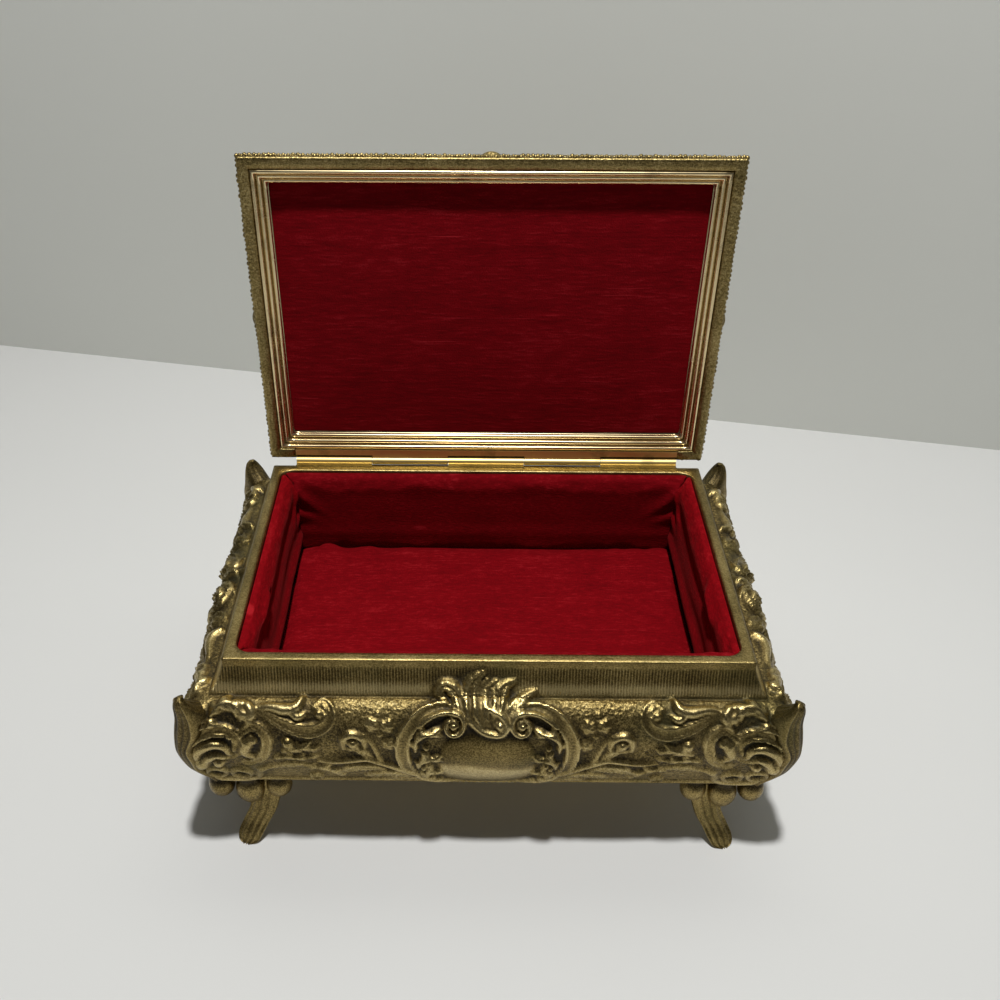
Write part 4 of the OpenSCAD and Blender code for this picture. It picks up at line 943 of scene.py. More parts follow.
def loft(loops):
    """One closed skin over a stack of loops, with a small cap at both ends."""
    count = len(loops[0])
    faces = skin(loops, closed_rows=False).tolist()
    points = [tuple(p) for ring_points in loops for p in ring_points]
    for index, order in ((0, 1), (len(loops) - 1, -1)):
        centre = len(points)
        points.append(tuple(np.mean(loops[index], axis=0)))
        for i in range(count):
            a, b = index * count + i, index * count + (i + 1) % count
            faces.append((a, b, centre)[::order])
    return points, faces


def tidy(points, faces):
    """Turns every face outward."""
    mesh = bmesh.new()
    vertices = [mesh.verts.new(p) for p in points]
    for face in faces:
        mesh.faces.new([vertices[i] for i in face])
    bmesh.ops.recalc_face_normals(mesh, faces=mesh.faces)
    mesh.verts.index_update()
    turned = [[v.index for v in face.verts] for face in mesh.faces]
    mesh.free()
    return points, turned


def joined(*solids):
    """Several closed skins kept in one piece."""
    points, faces = [], []
    for solid_points, solid_faces in solids:
        faces += [[i + len(points) for i in face] for face in solid_faces]
        points += list(solid_points)
    return points, faces


def leaf_loops():
    """The leaf's levels, as distance along the diagonal, across it, and depth; and its hollows."""
    loops, hollows = [], []
    levels = spline(LEAF_LEVELS, 8)
    across = np.linspace(-1, 1, 57)
    side = np.abs(across)
    for depth, reach, half, thick, free in levels:
        t = (depth - LEAF_LEVELS[0][0]) / 38
        half *= 1 + 0.07 * math.sin(23 * t) * min(1, 4 * t)
        crest = math.sqrt(2) * reach
        wall = math.sqrt(2) * float(np.interp(depth, row_depth, row_out))
        folded = np.sqrt((half * side) ** 2 + 2.2 ** 2) - 0.6
        drop = (1 - free) * folded + free * 0.75 * half * side ** 1.5
        veins = sum(np.exp(-((side - place + 0.3 * t) / 0.07) ** 2) for place in (0.55, 0.88)) * min(1, 5 * t) * 0.6
        veins = veins + 1.5 * np.exp(-(side / 0.13) ** 2) * min(1, 8 * t) * max(0, 1 - 1.3 * t)
        lift = 0.3 * np.exp(-((side - 0.93) / 0.09) ** 2)
        face = crest - drop - 0.34 * veins + lift
        back_side = np.maximum(face - thick * (1 - 0.6 * side ** 2) - 0.3, wall - half * side - 1.2)
        back_side = np.minimum(back_side, face - 0.3)
        loops.append([(f, half * v, depth) for f, v in zip(face, across)]
                     + [(b, half * v * 0.97, depth) for b, v in zip(back_side[::-2], across[::-2])])
        hollows.append(np.concatenate([0.26 + 0.55 * veins + 0.1 * side ** 2 - 2 * lift, np.full(29, 0.5)]))
    return loops, np.concatenate(hollows + [np.zeros(2)])


leaf, leaf_hollows = leaf_loops()
for name, sx, sy in (("front_left", -1, -1), ("front_right", 1, -1), ("rear_left", -1, 1), ("rear_right", 1, 1)):
    r = math.sqrt(0.5)
    turned = [[(sx * (HALF_W + r * (a + b)), sy * (HALF_D + r * (a - b)) + MIDDLE_Y, RIM_Z - d) for a, b, d in loop]
              for loop in leaf]
    points, faces = tidy(*loft(turned))
    piece("corner_leaf_" + name, points, faces, CASING_GILT, "base", "cast_gilt", paints={"wash_and_shade": leaf_hollows})

# %% [markdown]
# ## Feet
#
# A foot is one small casting: three pendant drops under the corner, and a flat ribbed blade
# that splays outward and ends in a pointed toe. The blade is lofted along a bent centre
# line; its ribs are a wave across the blade's outer face.

# %% Foot castings
BLADE = [  # below the rim, out along x, out along y, half width, half thickness
    (45.0, 66.7, 51.0, 5.2, 3.2),
    (50.0, 67.3, 52.6, 4.9, 2.9),
    (54.0, 68.2, 54.0, 4.6, 2.5),
    (58.0, 69.4, 55.7, 4.3, 2.3),
    (62.0, 71.6, 57.2, 4.1, 2.1),
    (65.0, 73.4, 59.4, 4.0, 1.9),
    (67.0, 74.3, 61.0, 3.3, 1.3),
    (68.0, 74.9, 62.0, 1.6, 0.8),
]
DROPS = [(63.6, 1.5, 1.0), (72.4, 3.4, 1.12), (81.2, 1.5, 1.0)]


def blade_loops():
    stations = np.array(BLADE)
    ladder = spline(stations[:, :3], 7)
    halves = spline(stations[:, [0, 3, 4]], 7)
    turn = math.radians(16)
    loops = []
    for (depth, x, y), (_, half, thick) in zip(ladder, halves):
        loop = []
        for angle in np.linspace(0, 2 * math.pi, 65)[:-1]:
            w, n = math.cos(angle), math.sin(angle)
            body = math.copysign(abs(n) ** 0.75, n)
            rib = 0.42 * (math.cos(2 * math.pi * w * 2.0) - 1) * max(n, 0) ** 0.6 if n > 0 else 0
            a, b = half * w, thick * body + rib
            loop.append((x + a * math.cos(turn) + b * math.sin(turn), y - a * math.sin(turn) + b * math.cos(turn),
                         min(depth, RIM_Z - 0.0)))
        loops.append(loop)
    return loops


def drop_loops(x, low, swell_by):
    outline_points = [(43.2, 2.5), (44.4, 2.7), (45.6, 3.5), (47.4, 4.0), (49.2, 3.7), (50.6, 2.6), (51.3, 1.2), (51.5, 0.3)]
    loops = []
    for depth, r in spline(outline_points, 5):
        depth = 43.2 + (depth - 43.2) * (1 + low / 8)
        loops.append([(x + swell_by * r * math.cos(q), 52.9 + low * 0.5 + r * math.sin(q), depth)
                      for q in np.linspace(0, 2 * math.pi, 33)[:-1]])
    return loops


def saddle_loops():
    """The plate that carries the drops, rounded at its corners."""
    loops = []
    for depth, grow in ((43.25, -0.3), (43.6, 0), (45.6, 0), (46.6, -0.5), (47.2, -1.6)):
        corners = []
        for cx, cy, start in ((78.6, 51.2, 0), (63.6, 51.2, 90), (63.6, 42.0, 180), (74.6, 40.0, 270)):
            for q in np.linspace(0, 90, 7):
                a = math.radians(start + q)
                corners.append((cx + (2.4 + grow) * math.cos(a), cy + (2.4 + grow) * math.sin(a), depth))
        loops.append(corners)
    return loops


for name, sx, sy in (("front_left", -1, -1), ("front_right", 1, -1), ("rear_left", -1, 1), ("rear_right", 1, 1)):
    solids = []
    for loops in [blade_loops(), saddle_loops()] + [drop_loops(*drop) for drop in DROPS]:
        solids.append(loft([[(sx * x, sy * y + MIDDLE_Y, RIM_Z - d) for x, y, d in loop] for loop in loops]))
    points, faces = tidy(*joined(*solids))
    depths = RIM_Z - np.array(points)[:, 2]
    # painted shadow: the top of each foot, under the casing's hem, is stored darker
    foot_piece = piece("foot_casting_" + name, points, faces, FOOT_GILT, "base", "foot_gilt",
                       paints={"high": np.full(len(points), 0.2),
                               "wash_and_shade": 0.12 + np.clip((47.2 - depths) / 3.4, 0, 0.85)})
    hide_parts("foot_" + name)

# %% [markdown]
# ## The lid
#
# The lid is drawn closed, in its own plain coordinates, and swung to its open place about
# the hinge pin. Its underside carries a stamped brass frame of three bright ribs, each
# lower than the last, down to the velvet.

# %% Swing from the closed lid to the open one
pin_low, pin_high = corners_mm("hinge_pin")
HINGE_Y, HINGE_Z = (pin_low[1] + pin_high[1]) / 2, (pin_low[2] + pin_high[2]) / 2
OPEN = math.radians(95)
LID_LIFT, AXIS_UP = 0.3, 0.9
LID_HALF_W, LID_HALF_D = 75.7, 49.7


def lid_place(points):
    """Closed-lid points (across, back, above the lid's edge) to their open place."""
    p = np.asarray(points, float)
    back = p[:, 1] + MIDDLE_Y - HINGE_Y
    above = p[:, 2] + LID_LIFT - AXIS_UP
    y = HINGE_Y + back * math.cos(OPEN) + above * math.sin(OPEN)
    z = HINGE_Z - back * math.sin(OPEN) + above * math.cos(OPEN)
    return np.stack([p[:, 0], y, z], -1)


def oblong(half_w, half_d, steps_w=60, steps_d=40):
    """A plain rectangle with many points on each side."""
    w, d = np.linspace(-half_w, half_w, steps_w + 1)[:-1], np.linspace(-half_d, half_d, steps_d + 1)[:-1]
    return np.concatenate([
        np.stack([w, np.full_like(w, -half_d)], -1), np.stack([np.full_like(d, half_w), d], -1),
        np.stack([-w, np.full_like(w, half_d)], -1), np.stack([np.full_like(d, -half_w), -d], -1)])


# %% Stamped frame of three ribs
RIB_PITCH, RIB_STEP, RIB_SWELL = 1.5, 1.35, 0.8
frame_outline = [(3.45, 1.6, 1.0), (3.45, 0.95, 0.9)]
for rib in range(3):
    for q in np.linspace(math.pi, 0, 9):
        frame_outline.append((3.5 + RIB_PITCH * (rib + 0.5) + 0.66 * math.cos(q),
                              0.8 + RIB_STEP * rib - RIB_SWELL * (math.sin(q) ** 0.7), 0.5 * abs(math.cos(q)) ** 8))
    frame_outline.append((3.5 + RIB_PITCH * (rib + 1), 1.4 + RIB_STEP * (rib + 0.35), 1.0))
frame_outline += [(8.1, 4.4, 0.6), (8.1, 5.6, 1), (7.5, 5.6, 1), (7.3, 4.6, 1), (5.6, 3.6, 1), (4.2, 2.2, 1)]
frame_loops, grooves = [], []
for inset, above, groove in frame_outline:
    loop = oblong(LID_HALF_W - inset, LID_HALF_D - inset)
    wave = 0.035 * np.sin(loop[:, 0] * 0.13 + inset) * np.sin(loop[:, 1] * 0.11 + 1.7 * inset)
    frame_loops.append(lid_place(np.concatenate([loop, (above + wave)[:, None]], 1)))
    grooves.append(np.full(len(loop), groove))
stamped = piece("stamped_frame", *tidy(np.concatenate(frame_loops).tolist(), skin(frame_loops)),
                MOULDING_BRASS, "lid", "stamped_brass", paints={"groove": np.concatenate(grooves)})
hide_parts("lid_inner_frame")

# %% [markdown]
# The lid's outside faces away from the camera in the photograph. Caskets of this kind carry
# the same scrolls on the lid as on the body, so the same carver's forms are laid on the
# dome. The lid is one closed skin of rings, from the hollow behind the velvet, round the
# scalloped edge and up to the boss in the middle.

# %% The lid's casting
LID_STEPS_W, LID_STEPS_D = 280, 184
LID_BAND, LID_SHOULDER, DOME_FOOT, DOME_TOP = 3.4, 7.0, 7.59, 14.2
SCALLOP_PITCH, SCALLOP, CUSP = 2.9, 0.25, 1.2


def dome_at(inset):
    """Height of the plain dome at a distance in from the lid's edge."""
    t = np.clip((inset - LID_SHOULDER - 0.6) / (LID_HALF_D - LID_SHOULDER - 0.6), 0, 1)
    dome = DOME_FOOT + 0.8 + (DOME_TOP - DOME_FOOT - 0.8) * np.sin(t * math.pi / 2)
    return np.where(inset < LID_SHOULDER + 0.6, np.interp(inset, [0, 1.2, 4.0, 7.0, 7.6], [3.4, 3.9, 5.2, 7.59, 8.39]), dome)


def lid_carving(x, y):
    carve = Carving(x, y)
    oval = np.clip(1 - (np.abs(x) / 17) ** 2.3 - (np.abs(y) / 12) ** 2.3, 0, 1)
    chosen = np.nonzero(oval > 0)
    carve.raise_to(chosen, 1.5 * oval[chosen] ** 0.5)
    for hx in (-1, 1):
        for hy in (-1, 1):
            def on_lid(points):
                return [(hx * px, hy * py) for px, py in points]
            carve.band(on_lid([(2, 17.3), (10, 18.4), (18, 15.6), (23, 10.4), (25.2, 1.6)]),
                       [1.4, 2.0, 2.2, 2.1, 1.5], [1.0, 1.5, 1.7, 1.6, 1.2], ribs=0.12)
            carve.volute(hx * 27.6, hy * 6.0, 3.0, 1.2, 0.4, hx * hy, 0.9, 1.5)
            carve.band(on_lid([(32, 3.4), (36, 9), (43, 11.2), (49, 8.4), (50, 3.6), (46, 2)]),
                       [0.8, 1.7, 2.0, 1.9, 1.6, 1.0], [0.7, 1.3, 1.5, 1.5, 1.3, 1.0], ribs=0.1)
            carve.leaf(on_lid([(28, 12), (34, 17.6), (42, 20.6), (50, 19)]), [0.8, 2.6, 2.4, 0.6], [0.8, 1.5, 1.5, 0.6])
            carve.leaf(on_lid([(11, 20), (18, 24.6), (26, 27), (33, 26)]), [0.8, 2.4, 2.2, 0.5], [0.8, 1.5, 1.4, 0.5])
            carve.leaf(on_lid([(73, 47), (66, 40), (58, 32.4), (52, 27)]), [1.2, 3.4, 3.2, 0.8], [1.0, 1.7, 1.7, 0.8])
            carve.leaf(on_lid([(62, 34), (60, 26), (55, 22)]), [0.8, 1.9, 0.6], [0.8, 1.3, 0.7])
            carve.leaf(on_lid([(60, 37), (51, 37), (45, 33)]), [0.8, 1.9, 0.6], [0.8, 1.3, 0.7])
            carve.band(on_lid([(58.4, 14), (61, 8), (61, 1)]), [0.8, 1.7, 1.2], [0.7, 1.3, 1.0], ribs=0.1)
            for bx, by in ((38, 28), (41, 30), (36.4, 30.8), (39.4, 32.4), (56, 18), (22, 31.6), (25, 33)):
                carve.bead(hx * bx, hy * by, 1.4, 1.2)
    for hy in (-1, 1):
        carve.leaf([(0, hy * 16), (0, hy * 23), (0, hy * 31)], [1.4, 3.2, 0.7], [1.2, 1.7, 0.8])
    return carve.height


lid_rows = [(49.3, 9.6), (30.0, 8.6), (12.0, 6.8), (8.9, 6.2), (6.5, 6.0), (3.4, 4.4), (3.4, 3.2), (3.4, 0.25), (3.15, 0.0),
            (1.9, 0.0), (1.02, 0.0), (0.98, 0.0), (0.35, 0.0), (0.0, 0.3), (0.0, 1.45), (0.0, 1.6), (0.0, 2.2),
            (0.0, 2.9), (0.0, 3.25), (0.25, 3.45), (0.9, 3.75)]
lid_rows += [(i, None) for i in np.concatenate([np.arange(1.4, 10, 0.55), np.arange(10.2, 49.2, 0.7), [49.4]])]
edge_rows = range(15, 20)
lid_rings, lid_high, lid_hollow, lid_ground = [], [], [], []
plan = [oblong(LID_HALF_W - inset, LID_HALF_D - inset, LID_STEPS_W, LID_STEPS_D) for inset, _ in lid_rows]
plan_grid = np.stack(plan)
carved = lid_carving(plan_grid[..., 0], plan_grid[..., 1])
for index, (inset, above) in enumerate(lid_rows):
    carved[index] *= 0 if above is not None else min(1, max(0, (inset - 2.6) / 3))
carved_around = blur(carved, 3)
side_starts = np.cumsum([0, LID_STEPS_W, LID_STEPS_D, LID_STEPS_W, LID_STEPS_D])
for index, (inset, above) in enumerate(lid_rows):
    loop = plan[index].copy()
    z = np.full(len(loop), above) if above is not None else dome_at(np.full(len(loop), inset)) + carved[index]
    if index in edge_rows:
        for turn, half in enumerate((LID_HALF_W, LID_HALF_D, LID_HALF_W, LID_HALF_D)):
            span = slice(side_starts[turn], side_starts[turn + 1])
            run = np.linspace(-half, half, side_starts[turn + 1] - side_starts[turn] + 1)[:-1]
            lobes = max(4, round(2 * half / SCALLOP_PITCH))
            out = SCALLOP * np.abs(np.sin(math.pi * lobes * (run + half) / (2 * half)))
            out += CUSP * np.clip(1 - np.abs(run) / 3.6, 0, 1)
            out *= (0.0, 1.0, 1.0, 1.0, 0.7)[index - 15]
            direction = [(0, -1), (1, 0), (0, 1), (-1, 0)][turn]
            out *= np.where((turn == 2) & (np.abs(run) < HINGE_HALF + 1) & (index < 18), 0, 1)
            loop[span] += np.outer(out, direction)
    at_hinge = (plan[index][:, 1] > 0) & (np.abs(plan[index][:, 0]) < HINGE_HALF) & (np.arange(len(loop)) >= side_starts[2])
    at_hinge &= np.arange(len(loop)) < side_starts[3]
    if above is not None and 6 <= index <= 16:
        z[at_hinge] = np.maximum(z[at_hinge], 0.65 if inset > 1.0 else 2.06)
    if above is not None and 13 <= index <= 17:
        loop[at_hinge, 1] += 0.85
    lid_rings.append(lid_place(np.concatenate([loop, z[:, None]], 1)))
    shown = above is None
    lid_high.append(np.clip(carved[index] / 1.5, 0, 1) if shown else np.full(len(loop), 0.35))
    lid_hollow.append(np.clip((carved_around[index] - carved[index]) * 1.1, -0.3, 1) if shown else np.zeros(len(loop)))
    lid_ground.append(np.clip(1 - carved[index] / 0.35, 0, 1) if shown else np.full(len(loop), 0.25))


def closed_lid(rings):
    """The lid's skin; its last ring is a slot along the ridge, sewn up from side to side."""
    points, faces = loft(rings)
    count = len(rings[0])
    last, w, d = (len(rings) - 1) * count, LID_STEPS_W, LID_STEPS_D
    front = [last + i for i in range(w + 1)]
    rear = [last + 2 * w + d - i for i in range(w + 1)]
    sewn = [(front[i], front[i + 1], rear[i + 1], rear[i]) for i in range(1, w - 1)]
    sewn.append([front[w - 1]] + list(range(last + w, last + w + d + 1)) + [rear[w - 1]])
    sewn.append([rear[1]] + list(range(last + 2 * w + d, last + count)) + [last, front[1]])
    return points[:-1], faces[:-count] + sewn


caps = [np.zeros(1)]
lid_points, lid_faces = tidy(*closed_lid(lid_rings))
lid_casting = piece("lid_casting", lid_points, lid_faces, LID_GILT, "lid", "lid_gilt", paints={
    "high": np.concatenate(lid_high + caps), "wash_and_shade": np.concatenate(lid_hollow + caps),
    "ground": np.concatenate(lid_ground + caps)})
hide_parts("lid_shell")

# %% [markdown]
# The lid's rim is knobbly: the casting ends in a row of small lumps, no two quite alike.
# A lump repeated along a line is work for Geometry Nodes. The line is resampled at an even
# pitch, a lump is put on every point and scaled by a seeded random number, and the
# row is made real, so that it leaves the script as a plain mesh.

# %% Beading round the lid's rim
class Tree:
    """A Geometry Nodes tree: nodes are added by name, and sockets are joined or filled in."""

    def __init__(self, name, **sizes):
        self.tree = bpy.data.node_groups.new(name, "GeometryNodeTree")
        self.tree.interface.new_socket("Geometry", in_out="INPUT", socket_type="NodeSocketGeometry")
        self.identifiers = {}
        for size, value in sizes.items():
            kind = "NodeSocketInt" if isinstance(value, int) else "NodeSocketFloat"
            socket = self.tree.interface.new_socket(size, in_out="INPUT", socket_type=kind)
            self.identifiers[size] = (socket.identifier, value)
        self.tree.interface.new_socket("Geometry", in_out="OUTPUT", socket_type="NodeSocketGeometry")
        self.start = self.tree.nodes.new("NodeGroupInput")
        self.end = self.tree.nodes.new("NodeGroupOutput")

    def size(self, name):
        return self.start.outputs[name]

    def node(self, kind, settings=None, out=0, **sockets):
        node = self.tree.nodes.new(kind)
        for key, value in (settings or {}).items():
            setattr(node, key, value)
        for name, value in sockets.items():
            socket = node.inputs[int(name[1:])] if name[0] == "_" else node.inputs[name.replace("_", " ")]
            if isinstance(value, bpy.types.NodeSocket):
                self.tree.links.new(value, socket)
            else:
                socket.default_value = value
        return node.outputs[out]

    def finish(self, geometry, material):
        """Ends the tree in real geometry with its material."""
        real = self.node("GeometryNodeRealizeInstances", Geometry=geometry)
        dressed = self.node("GeometryNodeSetMaterial", Geometry=real, Material=material)
        self.tree.links.new(dressed, self.end.inputs[0])

    def run(self, points, edges):
        """Runs the tree on a line of points in millimetres, and returns a plain mesh."""
        mesh = bpy.data.meshes.new("guide")
        mesh.from_pydata((np.asarray(points) * MM).tolist(), edges, [])
        guide = bpy.data.objects.new("guide", mesh)
        bpy.context.scene.collection.objects.link(guide)
        modifier = guide.modifiers.new("tree", "NODES")
        modifier.node_group = self.tree
        for identifier, value in self.identifiers.values():
            modifier[identifier] = value
        made = bpy.data.meshes.new_from_object(guide.evaluated_get(bpy.context.evaluated_depsgraph_get()))
        guide.modifiers.remove(modifier)
        bpy.data.objects.remove(guide)
        return made


def row_of_lumps(material):
    beading = Tree("rim_beading", pitch=1.45 * MM, lump=0.66 * MM, unlike=0.28, seed=7)
    line_of_rim = beading.node("GeometryNodeMeshToCurve", Mesh=beading.start.outputs[0])
    spaced = beading.node("GeometryNodeResampleCurve", {"mode": "LENGTH"}, Curve=line_of_rim, Length=beading.size("pitch"))
    lump = beading.node("GeometryNodeMeshIcoSphere", Radius=beading.size("lump"), Subdivisions=2)
    least = beading.node("ShaderNodeMath", {"operation": "SUBTRACT"}, _0=1.0, _1=beading.size("unlike"))
    most = beading.node("ShaderNodeMath", {"operation": "ADD"}, _0=1.0, _1=beading.size("unlike"))
    scale = beading.node("FunctionNodeRandomValue", {"data_type": "FLOAT"}, out=1, _2=least, _3=most, Seed=beading.size("seed"))
    placed = beading.node("GeometryNodeInstanceOnPoints", Points=spaced, Instance=lump, Scale=scale)
    smooth = beading.node("GeometryNodeSetShadeSmooth", Geometry=placed)
    beading.finish(smooth, material)
    return beading


rim_rounds = []
for inset, above in ((0.02, 1.4), (0.1, 3.0)):
    half_w, half_d = LID_HALF_W - inset, LID_HALF_D - inset
    corners = lid_place([(HINGE_HALF + 2, half_d, above), (half_w, half_d, above), (half_w, 0, above),
                         (half_w, -half_d, above), (0, -half_d, above), (-half_w, -half_d, above),
                         (-half_w, 0, above), (-half_w, half_d, above), (-HINGE_HALF - 2, half_d, above)])
    rim_rounds.append(corners)
rim_points = np.concatenate(rim_rounds)
rim_edges = [(i + k * len(rim_rounds[0]), i + 1 + k * len(rim_rounds[0])) for k in (0, 1) for i in range(len(rim_rounds[0]) - 1)]
beads = row_of_lumps(LID_GILT).run(rim_points, rim_edges)
bead_points = np.array([v.co[:] for v in beads.vertices]) / MM
lid_beading = piece("lid_rim_beading", bead_points, [f.vertices[:] for f in beads.polygons], LID_GILT, "lid", "lid_gilt",
                    paints={"high": np.full(len(bead_points), 0.3)})

# %% [markdown]
# ## Velvet
#
# Each wall of the compartment is a card with velvet drawn over a thin wad. The velvet
# bellies out from the wall, turns in at the top, and gathers in folds where two walls meet.
# A wall is laid out flat, as a place along it and a depth, and its thickness is a formula.

# %% Wall linings
LINING_HALF_W, LINING_HALF_D = 71.65, 45.65
LINING_TOP, LINING_FOOT = 0.45, 33.2
pad_low, pad_high = corners_mm("floor_pad")
pad_half_w = (pad_high[0] - pad_low[0]) / 2 + 0.2
pad_half_d = (pad_high[1] - pad_low[1]) / 2 + 0.2
print("floor pad half sizes", round(float(pad_half_w), 2), round(float(pad_half_d), 2))


def wall_thickness(along, depth, half, wall):
    """How far the velvet stands off the casing, in millimetres."""
    t = np.clip((depth - LINING_TOP) / (LINING_FOOT - LINING_TOP), 0, 1)
    thick = 2.5 + 0.9 * np.sin(math.pi * t ** 0.8)
    from_end = half - np.abs(along)
    if wall in ("rear", "left", "right"):
        near_rear = np.exp(-(from_end / 9.5) ** 2)
        if wall != "rear":
            near_rear = near_rear * ((along > 0) if wall == "right" else (along < 0))
        thick += 2.4 * near_rear * np.exp(-((depth - 5.5 - 0.75 * from_end) / 2.6) ** 2)
        thick += 1.3 * near_rear * np.exp(-((depth - 15 - 0.3 * from_end) / 2.6) ** 2)
        thick -= 0.8 * near_rear * np.exp(-((depth - 11 - 0.5 * from_end) / 1.6) ** 2)
    if wall in ("left", "right"):
        folds = 0.7 * np.exp(-((depth - 5.0 - 0.5 * np.sin(along * 0.11)) / 3.4) ** 2)
        folds -= 0.6 * np.exp(-((depth - 10.5 - 0.8 * np.sin(along * 0.09 + 1)) / 1.8) ** 2)
        folds += 0.6 * np.exp(-((depth - 17 - 1.2 * np.sin(along * 0.07)) / 3.0) ** 2)
        thick += folds
    else:
        thick += 0.5 * np.exp(-((depth - 4.0) / 3.0) ** 2)
    thick += 0.14 * np.sin(along * 0.16 + 0.8) * np.sin(math.pi * t)
    gap = LINING_HALF_W - pad_half_w if wall in ("left", "right") else LINING_HALF_D - pad_half_d
    thick += (gap - 2.5 - 0.05) * np.clip((depth - 25) / 4, 0, 1) ** 2
    thick += (2.2 if wall in ("left", "right") else 0.6) * np.exp(-((depth - 24.5) / 3.4) ** 2)
    top_roll = np.sqrt(np.clip(1 - (1 - np.clip((depth - LINING_TOP) / 1.4, 0, 1)) ** 2, 0, 1))
    return np.clip(thick, 0.6, 6.2) * (0.25 + 0.75 * top_roll)


# %% [markdown]
# The padding is swollen by a cloth simulation. The shape is remeshed evenly, its back is held
# where it is glued to the card, and air pressure blows it up for twenty frames. A little
# more cloth than the shape needs makes it crease the way a glued velvet does. The bench
# scale is only for the simulation, whose numbers suit things as large as a cushion.

# %% Swell a pad with a cloth simulation
BENCH = 5


def plain_object(name, points, faces):
    mesh = bpy.data.meshes.new(name)
    mesh.from_pydata(np.asarray(points, float).tolist(), [], [list(map(int, f)) for f in faces])
    thing = bpy.data.objects.new(name, mesh)
    bpy.context.scene.collection.objects.link(thing)
    return thing


def evaluated_mesh(thing):
    return bpy.data.meshes.new_from_object(thing.evaluated_get(bpy.context.evaluated_depsgraph_get()))


def swollen(points, faces, held, voxel, most, spare_cloth=0.03, pressure=4.0):
    """Blows up a closed shape; held tells which points are glued, most caps the movement."""
    raw = plain_object("pad_form", np.asarray(points) * MM * BENCH, faces)
    remesh = raw.modifiers.new("even", "REMESH")
    remesh.mode, remesh.voxel_size = "VOXEL", voxel * MM * BENCH
    even = evaluated_mesh(raw)
    bpy.data.objects.remove(raw)
    start = np.array([v.co[:] for v in even.vertices])
    quads = [f.vertices[:] for f in even.polygons]
    pad = plain_object("pad_cloth", start, quads)
    glued = pad.vertex_groups.new(name="glued")
    glued.add([int(i) for i in np.nonzero(held(start / (MM * BENCH)))[0]], 1.0, "REPLACE")
    cloth = pad.modifiers.new("swell", "CLOTH")
    cloth.settings.vertex_group_mass = "glued"
    cloth.settings.use_pressure = True
    cloth.settings.uniform_pressure_force = pressure
    cloth.settings.shrink_min = -spare_cloth
    cloth.settings.effector_weights.gravity = 0
    cloth.point_cache.frame_start, cloth.point_cache.frame_end = 1, 20
    for frame_number in range(1, 21):
        bpy.context.scene.frame_set(frame_number)
        bpy.context.view_layer.update()
    blown = evaluated_mesh(pad)
    moved = np.array([v.co[:] for v in blown.vertices]) - start
    length = np.linalg.norm(moved, axis=1, keepdims=True) + 1e-12
    print("pad moved by up to", round(float(length.max()) / (MM * BENCH), 2), "mm")
    start = start + moved * np.minimum(1, most * MM * BENCH / length)
    bpy.data.objects.remove(pad)
    bpy.context.scene.frame_set(1)
    smooth = plain_object("pad_smooth", start, quads)
    smooth.modifiers.new("finer", "SUBSURF").levels = 1
    finer = evaluated_mesh(smooth)
    bpy.data.objects.remove(smooth)
    return np.array([v.co[:] for v in finer.vertices]) / (MM * BENCH), [f.vertices[:] for f in finer.polygons]


# %% Make the four linings
SLIT_DEPTH, SLIT_FROM, SLIT_TO = 6.4, -29, -11


def slit(points, wall):
    """Presses a short gap into a side wall's velvet, and returns where the gap is painted dark as shade."""
    y = points[:, 0] if wall == "right" else -points[:, 0]
    depth = -points[:, 2]
    window = np.clip((y - SLIT_FROM) / 4, 0, 1) * np.clip((SLIT_TO - y) / 4, 0, 1)
    line_at = SLIT_DEPTH + (SLIT_TO - y) * 0.10
    face = np.clip((points[:, 1] + LINING_HALF_W - 1.0) / 1.0, 0, 1)
    points[:, 1] -= face * window * 2.2 * np.exp(-((depth - line_at) / 0.8) ** 2)
    points[:, 1] += face * window * 0.9 * np.exp(-((depth - line_at + 2.3) / 1.5) ** 2)
    return points, face * window * np.exp(-((depth - line_at) / 0.9) ** 2)


def lining(wall, turn, half, away, steps):
    depth = np.concatenate([LINING_TOP + np.array([0, 0.08, 0.25, 0.55, 1.0]), np.linspace(2.1, LINING_FOOT, 44)])
    u = np.linspace(-1, 1, steps)
    uu, dd = np.meshgrid(u, depth)
    thick = wall_thickness(uu * half, dd, half, wall)
    along = uu * (half - thick * np.abs(uu) ** 6)
    face = np.stack([along, -away + thick, -dd], -1)
    back_plane = np.stack([uu * half, np.full_like(uu, -away), -dd], -1)
    loops = [np.concatenate([face[:, i], back_plane[::-1, i]]) for i in range(steps)]
    points, faces = swollen(*tidy(*loft(loops)), lambda p: p[:, 1] < 0.8 - away, 0.95, 0.5)
    points[:, 1] = np.maximum(points[:, 1], -away)
    points[:, 0] = np.clip(points[:, 0], -half, half)
    painted_slit_shade = np.zeros(len(points))
    if wall in ("left", "right"):
        points, painted_slit_shade = slit(points, wall)
    c, s = [(1, 0), (0, 1), (-1, 0), (0, -1)][turn]
    placed = np.stack([points[:, 0] * c - points[:, 1] * s, points[:, 0] * s + points[:, 1] * c + MIDDLE_Y,
                       np.clip(points[:, 2], -LINING_FOOT, -0.2) + RIM_Z], -1)
    velvet_of_wall = SIDE_VELVET if wall in ("left", "right") else WALL_VELVET
    cloth = piece(wall + "_velvet", placed, faces, velvet_of_wall, "base", "velvet", paints={"painted_slit_shade": painted_slit_shade})
    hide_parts(wall + "_lining")


lining("front", 0, LINING_HALF_W, LINING_HALF_D, 180)
lining("right", 1, LINING_HALF_D, LINING_HALF_W, 140)
lining("rear", 2, LINING_HALF_W, LINING_HALF_D, 180)
lining("left", 3, LINING_HALF_D, LINING_HALF_W, 140)


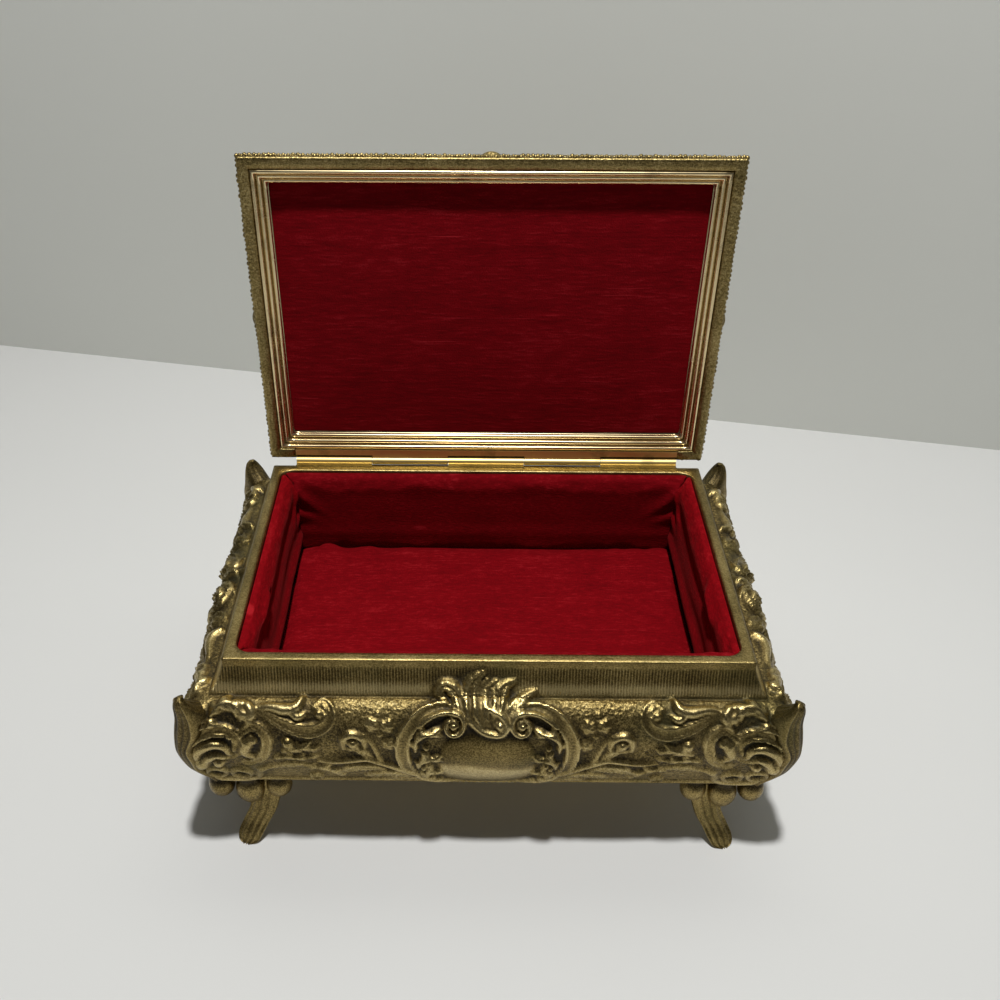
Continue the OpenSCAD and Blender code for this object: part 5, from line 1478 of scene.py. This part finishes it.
# %% Floor pad and lid panel
def pad_loops(half_w, half_d, corner_r, thick, crown, roll, ripple):
    """Rings from the back of a flat pad, over its rolled edge, to its middle."""
    pad_ring = Ring(front=120, back=120, side=80, corner=14)
    loops = []
    levels = [(0.6, 0.0), (0.15, 0.25), (0, 0.5)]
    levels += [(roll * (1 - math.cos(q)), 0.5 + 0.5 * math.sin(q)) for q in np.linspace(0.2, math.pi / 2, 8)]
    levels += [(roll + (half_d - corner_r - roll - 0.3) * t, 1.0) for t in np.linspace(0.03, 1, 40)]
    for inset_by, rise in levels:
        flat = pad_ring.outline(half_w - inset_by, half_d - inset_by, max(corner_r - inset_by, 0.4),
                                half_w - inset_by - corner_r, half_d - inset_by - corner_r)
        t = max(0, (inset_by - roll) / (half_d - corner_r - roll))
        z = thick * rise + crown * (1 - (1 - min(t, 1)) ** 2.4) * (rise >= 1)
        up = np.full(len(flat), z)
        if rise >= 0.5:
            up += ripple(flat[:, 0], flat[:, 1]) * min(1, (rise - 0.5) * 2)
        loops.append(np.concatenate([flat, up[:, None]], 1))
    return loops


def floor_ripple(x, y):
    rear = np.exp(-((y - 40) / 5.0) ** 2)
    wavy = rear * np.exp(-((x + 62) / 22) ** 2) * 1.1 * np.sin(x * 0.42 + 0.6)
    return wavy + 0.28 * np.sin(x * 0.06 + 0.5) * np.sin(y * 0.09 + 0.3) + 0.12 * np.sin(x * 0.19 + y * 0.13)


floor_points, floor_faces = swollen(*tidy(*loft(pad_loops(pad_half_w, pad_half_d, 5, 3.2, 1.2, 2.0, floor_ripple))),
                                    lambda p: p[:, 2] < 0.7, 1.1, 0.7)
floor_points[:, 1] += MIDDLE_Y
floor_points[:, 2] = np.maximum(floor_points[:, 2], 0) + pad_low[2]
floor_cloth = piece("floor_velvet", *tidy(floor_points.tolist(), floor_faces), FLOOR_VELVET, "base", "velvet")
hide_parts("floor_pad")


def lid_ripple(x, y):
    return 0.10 * np.sin(x * 0.05 + 1.1) * np.sin(y * 0.07) + 0.05 * np.sin(x * 0.3 + y * 0.11)


LID_CARD_FACE = 5.1
lid_loops = [lid_place(np.stack([q[:, 0], q[:, 1], LID_CARD_FACE - q[:, 2]], -1))
             for q in pad_loops(67.55, 41.55, 0.6, 0.5, 0.8, 0.5, lid_ripple)]
lid_cloth = piece("lid_panel_velvet", *tidy(*loft(lid_loops)), LID_VELVET, "lid", "velvet")
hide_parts("lid_velvet")

# %% [markdown]
# ## Dress the rest of the construction model

# %% Finishes of the nodes that stay as they are
for node, material in {
    "base_plate": PLATE_BRASS, "foot_screws": SCREW_STEEL, "hinge_pin": SCREW_STEEL,
    "hinge_body_leaf": HINGE_BRASS, "hinge_lid_leaf": HINGE_BRASS,
    "hinge_body_rivets": HINGE_BRASS, "hinge_lid_rivets": HINGE_BRASS,
    "floor_card": PASTEBOARD, "front_card": PASTEBOARD, "rear_card": PASTEBOARD,
    "left_card": PASTEBOARD, "right_card": PASTEBOARD, "lid_card": PASTEBOARD,
}.items():
    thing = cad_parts[node]
    thing.data.materials.clear()
    thing.data.materials.append(material)
